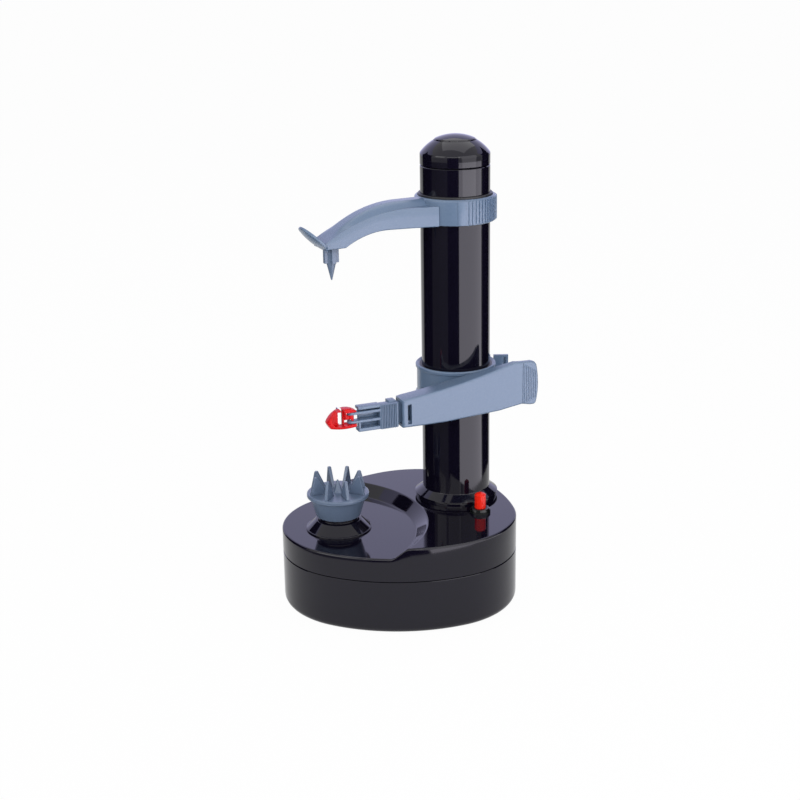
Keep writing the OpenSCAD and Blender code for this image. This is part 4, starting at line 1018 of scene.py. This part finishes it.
def makeBladeArm():
    a = bladeArm
    low, high, tip = a["cartLow"], a["cartHigh"], a["tip"]
    upper = [crestPoint(i / 24) for i in range(25)]
    loop = [(tip, low - 1.8 + 0.3), (tip, high - 0.5)] + upper[1:]
    loop += [(-26.5, 153.3), (-33.6, 153.1), (-35.6, 152.4), (-36.9, 150.8), (-37.6, 147.2), (-38.1, 143),
             (-38.3, 138), (-38.1, 133), (-37.5, 129), (-36.8, 126.0), (-35.8, 125.1), (-33, 125.0),
             (-27.2, 126.1)]
    loop += [(-19.5, 125.0), (-12, 123.8), (4, 122.8), (14, 122.2), (24, 121.6), (38, 121.5)]
    loop = loop if sum(p[0] * q[1] - q[0] * p[1]
                       for p, q in zip(loop, loop[1:] + loop[:1])) > 0 else loop[::-1]
    body = cushionedSlab("arm", loop, a["back"], a["front"], a["edge"], onBladeArm, 30, backEdge=0.4)
    pocket = [crestPoint(i / 24, 2.2) for i in range(9, 23)]
    pocket += [(-19, 126.8), (-12, 126.0), (24, 123.8), (36, 123.8), (36, 123.4), (60, 123.4),
               (60, high - 2.3), (36, high - 2.3)]
    pocket = pocket if sum(p[0] * q[1] - q[0] * p[1]
                           for p, q in zip(pocket, pocket[1:] + pocket[:1])) > 0 else pocket[::-1]
    cuts = [loftRings("pocket", [onBladeArm([(x, y, z) for x, z in pocket])
                                 for y in (a["back"] - 5, a["front"] - a["wall"])])]
    taper = [(14, a["back"] - 1), (10, a["back"]), (-23.6, a["front"] - 3.3), (-46, a["front"] - 3.3),
             (-46, a["back"] - 1)]
    cuts.append(loftRings("taper", [onBladeArm([(x, y, z) for x, y in taper]) for z in (105, 180)]))
    cuts.append(block("padLine", (-27.7, -27.3), (a["front"] - 0.4, a["front"] + 1), (low, high + 20), 0,
                      onBladeArm))
    cuts.append(block("padThin", (-45, -23.6), (a["back"] - 1, a["front"] - 3.2), (low - 10, high + 30), 0,
                      onBladeArm))
    for f in (0, 8, 16):
        p = np.array([-8, 33.0])
        c, s = math.cos(math.radians(f)), math.sin(math.radians(f))
        centre = p + np.array([c * -p[0] - s * -p[1], s * -p[0] + c * -p[1]])
        at = onBladeArm([(centre[0], centre[1], 0)])[0]
        cuts.append(lathe("relief", [(0, 110), (26.1, 110), (26.1, 170), (0, 170)], at, 160))
    window = roundPath([(47, low + 0.4, 0.5), (49.6, low + 0.4, 0.5), (49.6, high - 3.2, 0.5),
                        (47, high - 3.2, 0.5)], True, 3)
    cuts.append(loftRings("window", [onBladeArm([(x, y, z) for x, z in window])
                                     for y in (a["front"] - 5, a["front"] + 2)]))
    body = boolean(body, cuts, sharp=30)
    parts = [body]
    at = onBladeArm([(-8, 33, 0)])[0]
    parts.append(lathe("barrel", [(1.55, 136.0), (4, 136.0), (4, 140.3), (1.55, 140.3)], at, 48,
                       closed=True))
    parts.append(block("bridge", (-12, -4), (33, a["front"] - 1), (136.0, 140.3), 0.3, onBladeArm))
    parts.append(block("bulkhead", (34, 36), (a["back"] + 2, a["front"] - 1), (low, high + 1.4), 0.2,
                       onBladeArm))
    for z0, z1 in ((low - 1, low + 3), (high - 5.4, high - 1.4)):
        parts.append(block("lip", (40, tip), (a["back"], 30.9), (z0, z1), 0.2, onBladeArm))
    for i in range(a["ribs"]):
        x = -28.9 - i * a["ribPitch"]
        parts.append(block("gripRib", (x - 0.32, x + 0.32), (a["front"] - 0.5, a["front"] + 0.4),
                           (low + 3.6 + i * 0.4, high + 12.2 - i * 0.8), 0.22, onBladeArm))
    return joined("bladeArm", parts, 30)


bladeArmPiece = finishPiece(makeBladeArm(), "arm", finishes["blue"], ("blade_arm",))
print("blade arm made")


# Cartridge that slides in the arm's end: ribbed finger grip and the fork that carries the shield
cartridge = {"back": 31, "front": 37.4, "gripFrom": 54.4, "gripTo": 66.4, "ribs": 10, "ribPitch": 1.06,
             "tineTop": 133.3, "tineLow": 128.0, "pinAt": (84.6, 34.4)}


def makeCartridge():
    c = cartridge
    low, high = bladeArm["cartLow"], bladeArm["cartHigh"]
    tongue = block("tongue", (38, 51.8), (c["back"], 37.9), (low + 0.4, high - 2.6), 0.3, onBladeArm)
    hollow = [block("hollow", (36, 50), (32.6, 36), (low + 2, high - 4.4), 0, onBladeArm),
              block("opening", (47, 49.6), (35, 40), (low + 2, high - 4.4), 0, onBladeArm)]
    parts = [boolean(tongue, hollow),
             block("tongueEnd", (51.6, 55), (c["back"], 34.4), (low + 0.4, high - 2.6), 0.2, onBladeArm),
             block("grip", (c["gripFrom"], c["gripTo"]), (c["back"], c["front"] - 0.3),
                   (low - 1.2, high - 2), 0.6, onBladeArm),
             block("rear", (54.8, 59.6), (bladeArm["back"], 34), (high - 4.4, high - 1.2), 0.4, onBladeArm),
             block("topPlate", (66.3, 80.2), (c["back"], 37.0), (high - 3.4, high - 1.6), 0.35, onBladeArm),
             block("rail", (66.3, 80), (c["back"], 37.0), (low - 1, low + 1.2), 0.4, onBladeArm),
             block("endPost", (78.8, 80), (35.0, 37.0), (low + 1.1, c["tineLow"] + 0.05), 0.2, onBladeArm),
             block("backWeb", (66.3, 79), (c["back"], 32.2), (low + 1.1, high - 3.3), 0.2, onBladeArm)]
    for z in (c["tineLow"], c["tineTop"]):
        loop = roundPath([(66.3, 32.4), (c["pinAt"][0] + 2, 32.4, 2), (c["pinAt"][0] + 2, 36.6, 2),
                          (c["pinAt"][0] - 1.5, 37.0, 0.6), (66.3, 37.0)], True, 6)
        rings = [onBladeArm([(x, y, z + level) for x, y in offsetLoop(loop, inset)])
                 for inset, level in ((0.25, 0), (0.05, 0.08), (0, 0.3), (0, 1.3), (0.05, 1.52),
                                      (0.25, 1.6))]
        parts.append(loftRings("tine", rings))
    rib = rod("gripBar", 0.36, (0, 0, low - 1.1), (0, 0, high - 2.1), 0.2, asIs, 16)
    first = onBladeArm([(c["gripFrom"] + 1.5, c["front"] + 0.1, 0)])[0] * mm
    step = (onBladeArm([(c["ribPitch"], 0, 0)])[0] - onBladeArm([(0, 0, 0)])[0]) * mm
    parts.append(repeated("gripBars", rowTree,
                          {"Count": c["ribs"], "Shape": rib, "Finish": finishes["blue"],
                           "Start": tuple(first), "Step": tuple(step), "Turn": 0.0}))
    return joined("bladeCartridge", parts, 30)


cartridgePiece = finishPiece(makeCartridge(), "cartridge", finishes["blue"], ("blade_slide",))
print("cartridge made")


# Red leaf-shaped shield, scooped in front, holding the blade
shield = {"back": 31, "front": 37.4, "centres": (((88, 125.4), 12.3), ((88, 165.3), 40), ((82, 137), 18.9)),
          "flat": 81.2, "edge": 0.9}


def leafLoop(inset=0.0, step=3):
    # boundary of the three circles' overlap, cut flat on the arm's side, walked round a point inside it
    middle = np.array([88.5, 130.6])
    points = []
    for a in np.arange(0, 360, step):
        d = np.array([math.cos(math.radians(a)), math.sin(math.radians(a))])
        best = 1e9
        for centre, r in shield["centres"]:
            rel = middle - np.array(centre)
            b, q = rel @ d, rel @ rel - (r - inset) ** 2
            best = min(best, -b + math.sqrt(max(b * b - q, 0)))
        if d[0] < -1e-6:
            best = min(best, (shield["flat"] + inset - middle[0]) / d[0])
        points.append(tuple(middle + d * best))
    return points


def makeShield():
    s = shield
    e, rows = s["edge"], [(0.5, s["back"]), (0.15, s["back"] + 0.15), (0, s["back"] + 0.5)]
    rows += [(e * (1 - math.cos(math.radians(a))), s["front"] - e * (1 - math.sin(math.radians(a))))
             for a in (0, 30, 60, 90)]
    body = loftRings("leaf", [onBladeArm([(x, depth, z) for x, z in leafLoop(inset)])
                              for inset, depth in rows], 40)
    room = block("room", (70, 88), (s["back"] - 1, s["front"] + 1), (127.7, 135.3), 0, onBladeArm)
    neck = [lathe("keep", [(0, 120), (2.2, 120), (2.2, 150), (0, 150)], onBladeArm([(84.6, 34.4, 0)])[0],
                  40), block("keepNeck", (84.6, 90), (32.8, 36.0), (120, 150), 0, onBladeArm)]
    slab = block("band", (70, 95), (25, 45), (129.7, 133.2), 0, onBladeArm)
    kept = boolean(joined("kept", [neck[0]]), [neck[1]], "UNION")
    kept = boolean(kept, [slab], "INTERSECT")
    room = boolean(room, [kept])
    pin = lathe("pinHole", [(0, 110), (0.95, 110), (0.95, 150), (0, 150)], onBladeArm([(84.6, 34.4, 0)])[0],
                24)
    scoop = cushionedSlab("scoop",
                          roundPath([(84.2, 127.3, 1.2), (95.0, 127.3, 1.6), (97.4, 131.5, 1.8),
                                     (95.6, 136.2, 1.6), (88.6, 136.4, 1.2), (88.2, 131.0, 0.6),
                                     (84.2, 131.0, 0.8)], True, 4), s["back"] + 2.2, s["front"] + 4, 0.6,
                                     onBladeArm)
    slot = block("slot", (89, 91.25), (26, s["front"] + 1), (126.8, 137.5), 0, onBladeArm)
    seat = block("seat", (91.2, 91.95), (29, 33.25), (126.8, 137.5), 0, onBladeArm)
    return boolean(body, [room, pin, scoop, slot, seat], sharp=36)


shieldPiece = finishPiece(makeShield(), "shield", finishes["red"], ("blade_holder",))
print("shield made")


# The rest of the CAD nodes keep their own solids and take a finish each
plainFinishes = {"rubber_feet": "rubber", "base_screws": "steel", "battery_door": "gloss",
                 "battery_cells": "cell", "battery_contacts": "steel", "dc_socket": "plain",
                 "gearbox_plate": "acetal",
                 "plate_screws": "steel", "gear_pins": "steel", "motor": "steel", "motor_pinion": "brass",
                 "first_gear": "acetal", "second_gear": "acetal", "turntable_gear": "acetal",
                 "turntable_shaft": "steel", "screw_gear": "acetal", "lead_screw": "acetal",
                 "upper_bearing": "acetal", "column_screws": "steel", "stop_switch": "plain",
                 "start_switch": "plain", "circuit_board": "board", "arm_pin": "steel",
                 "lever_pin_rod": "steel", "half_nut": "acetal", "arm_spring": "steel",
                 "holder_pin": "steel", "blade": "steel"}
for node, finish in plainFinishes.items():
    nodes[node].data.materials.clear()
    nodes[node].data.materials.append(finishes[finish])
print("CAD nodes dressed")


# Studio: white floor and surround, soft boxes, dark flags that only reflections see
studio = {"floor": 40.0, "floorLift": 0.975, "floorShine": 0.5, "ambient": 0.3,
          "boxes": {"softLeft": ((-1.1, -0.8, 0.9), (0.9, 0.9), 5.5, (1, 1, 1)),
                    "softRight": ((0.42, -0.38, 0.42), (0.6, 0.7), 1.8, (0.95, 0.93, 1)),
                    "softFront": ((-0.15, -1.5, 0.75), (1.2, 0.8), 7.5, (1, 1, 1)),
                    "softTop": ((0.1, 0.35, 1.3), (1.0, 1.0), 3.5, (0.96, 0.95, 1))},
          "dark": ((6, 50), (138, 186), (243, 279)), "dim": (186, 243), "bright": (280, 362),
          "reach": (0.24, 1.9), "flagTop": 1.5, "cardLevel": 3.6, "back": (15, 165, 3.0, 3.2),
          "backLevel": 1.4}


def makeStudio():
    world = bpy.data.worlds.new("surround")
    bpy.context.scene.world = world
    world.use_nodes = True
    tree = world.node_tree
    tree.nodes.clear()
    add, link = tree.nodes.new, tree.links.new
    path, output, mixer = add("ShaderNodeLightPath"), add("ShaderNodeOutputWorld"), add("ShaderNodeMixShader")
    seen, ambient = add("ShaderNodeBackground"), add("ShaderNodeBackground")
    seen.inputs["Color"].default_value, seen.inputs["Strength"].default_value = (1, 1, 1, 1), 1
    ambient.inputs["Color"].default_value, ambient.inputs["Strength"].default_value = (0.95, 0.97, 1,
        1), studio["ambient"]
    first, second = add("ShaderNodeMath"), add("ShaderNodeMath")
    first.operation = second.operation = "MAXIMUM"
    link(path.outputs["Is Camera Ray"], first.inputs[0])
    link(path.outputs["Is Glossy Ray"], first.inputs[1])
    link(first.outputs[0], second.inputs[0])
    link(path.outputs["Is Transmission Ray"], second.inputs[1])
    link(second.outputs[0], mixer.inputs[0])
    link(ambient.outputs[0], mixer.inputs[1])
    link(seen.outputs[0], mixer.inputs[2])
    link(mixer.outputs[0], output.inputs[0])

    s = studio["floor"]
    floorMesh = bpy.data.meshes.new("floor")
    floorMesh.from_pydata([(-s, -s, 0), (s, -s, 0), (s, s, 0), (-s, s, 0)], [], [(0, 1, 2, 3)])
    floor = bpy.data.objects.new("floor", floorMesh)
    bpy.context.collection.objects.link(floor)
    f = Finish("paperFloor")
    mottle = f.noise(3, 2)
    paper = f.node("BsdfDiffuse", Color=f.mix(mottle, (0.93, 0.93, 0.93, 1), (0.95, 0.95, 0.95, 1)))
    glow = f.node("Emission", Color=(1, 1, 1, 1), Strength=1.0)
    camera, glossy, through = (f.node("LightPath", out=i) for i in (0, 3, 6))
    lit = (camera + through) * studio["floorLift"] + glossy * studio["floorShine"]
    f.tree.links.new(f.node("MixShader", i0=lit, i1=paper, i2=glow).socket, f.output.inputs[0])
    floorMesh.materials.append(f.material)

    def cloth(name, level):
        f = Finish(name)
        weave = f.noise(400, 2)
        f.tree.links.new(f.node("BsdfDiffuse", Color=f.mix(weave, (level, level, level, 1),
            (level * 1.6, level * 1.6, level * 1.7, 1))).socket, f.output.inputs[0])
        return f.material

    def sector(name, start, end, material, upright):
        # a card on the floor around the column, and its upright end, seen by reflections only
        steps, (near, far), (x, y) = 16, studio["reach"], columnAt * mm
        rows = [(near, 0.001), (far, 0.001)] + ([(far, studio["flagTop"])] if upright else [])
        verts = []
        for r, z in rows:
            for k in range(steps + 1):
                t = math.radians(start + (end - start) * k / steps)
                verts.append((x + r * math.cos(t), y + r * math.sin(t), z))
        mesh = bpy.data.meshes.new(name)
        mesh.from_pydata(verts, [], [(i + k, i + k + 1, i + steps + 2 + k, i + steps + 1 + k)
                                     for i in range(0, (steps + 1) * (len(rows) - 1), steps + 1)
                                     for k in range(steps)])
        card = bpy.data.objects.new(name, mesh)
        bpy.context.collection.objects.link(card)
        mesh.materials.append(material)
        card.visible_camera = card.visible_shadow = card.visible_diffuse = card.visible_transmission = False

    black, grey = cloth("flagCloth", 0.003), cloth("greyCloth", 0.16)
    for i, (start, end) in enumerate(studio["dark"]):
        sector("flag%d" % i, start, end, black, True)
    sector("greyCard", *studio["dim"], grey, False)

    def glowing(name, colour, level):
        f = Finish(name)
        sheen = f.noise(2, 1)
        f.tree.links.new(f.node("Emission",
                                Color=f.mix(sheen, colour, tuple(c * 0.96 for c in colour[:3]) + (1,)),
                                Strength=level).socket, f.output.inputs[0])
        return f.material

    sector("brightCard", *studio["bright"], glowing("litCard", (0.93, 0.9, 1, 1), studio["cardLevel"]),
           False)
    start, end, r, top = studio["back"]
    verts = [(r * math.cos(math.radians(start + (end - start) * k / 16)),
              r * math.sin(math.radians(start + (end - start) * k / 16)), z) for z in (0.002, top)
              for k in range(17)]
    mesh = bpy.data.meshes.new("backCard")
    mesh.from_pydata(verts, [], [(k, k + 1, k + 18, k + 17) for k in range(16)])
    wall = bpy.data.objects.new("backCard", mesh)
    bpy.context.collection.objects.link(wall)
    mesh.materials.append(glowing("violetCard", (0.69, 0.68, 1, 1), studio["backLevel"]))
    wall.visible_camera = wall.visible_shadow = wall.visible_diffuse = wall.visible_transmission = False
    for name, (at, size, power, colour) in studio["boxes"].items():
        lamp = bpy.data.lights.new(name, "AREA")
        lamp.shape, lamp.energy, lamp.color = "RECTANGLE", power, colour
        lamp.size, lamp.size_y = size
        box = bpy.data.objects.new(name, lamp)
        box.location = at
        box.rotation_euler = (Vector((0, 0, 0.13)) - Vector(at)).to_track_quat("-Z", "Y").to_euler()
        box.visible_camera = False
        bpy.context.collection.objects.link(box)


makeStudio()
cameraData = bpy.data.cameras.new("camera")
cameraData.lens, cameraData.sensor_width, cameraData.clip_end = 67.17, 36, 60
camera = bpy.data.objects.new("camera", cameraData)
tilt = Matrix.Rotation(math.radians(72.25), 4, "X")
roll = Matrix.Rotation(math.radians(-0.90), 4, "Z")
camera.matrix_world = Matrix.Translation((0.00252, -0.88637, 0.41208)) @ tilt @ roll
bpy.context.collection.objects.link(camera)
bpy.context.scene.camera = camera
bpy.context.scene.view_settings.view_transform = "Standard"
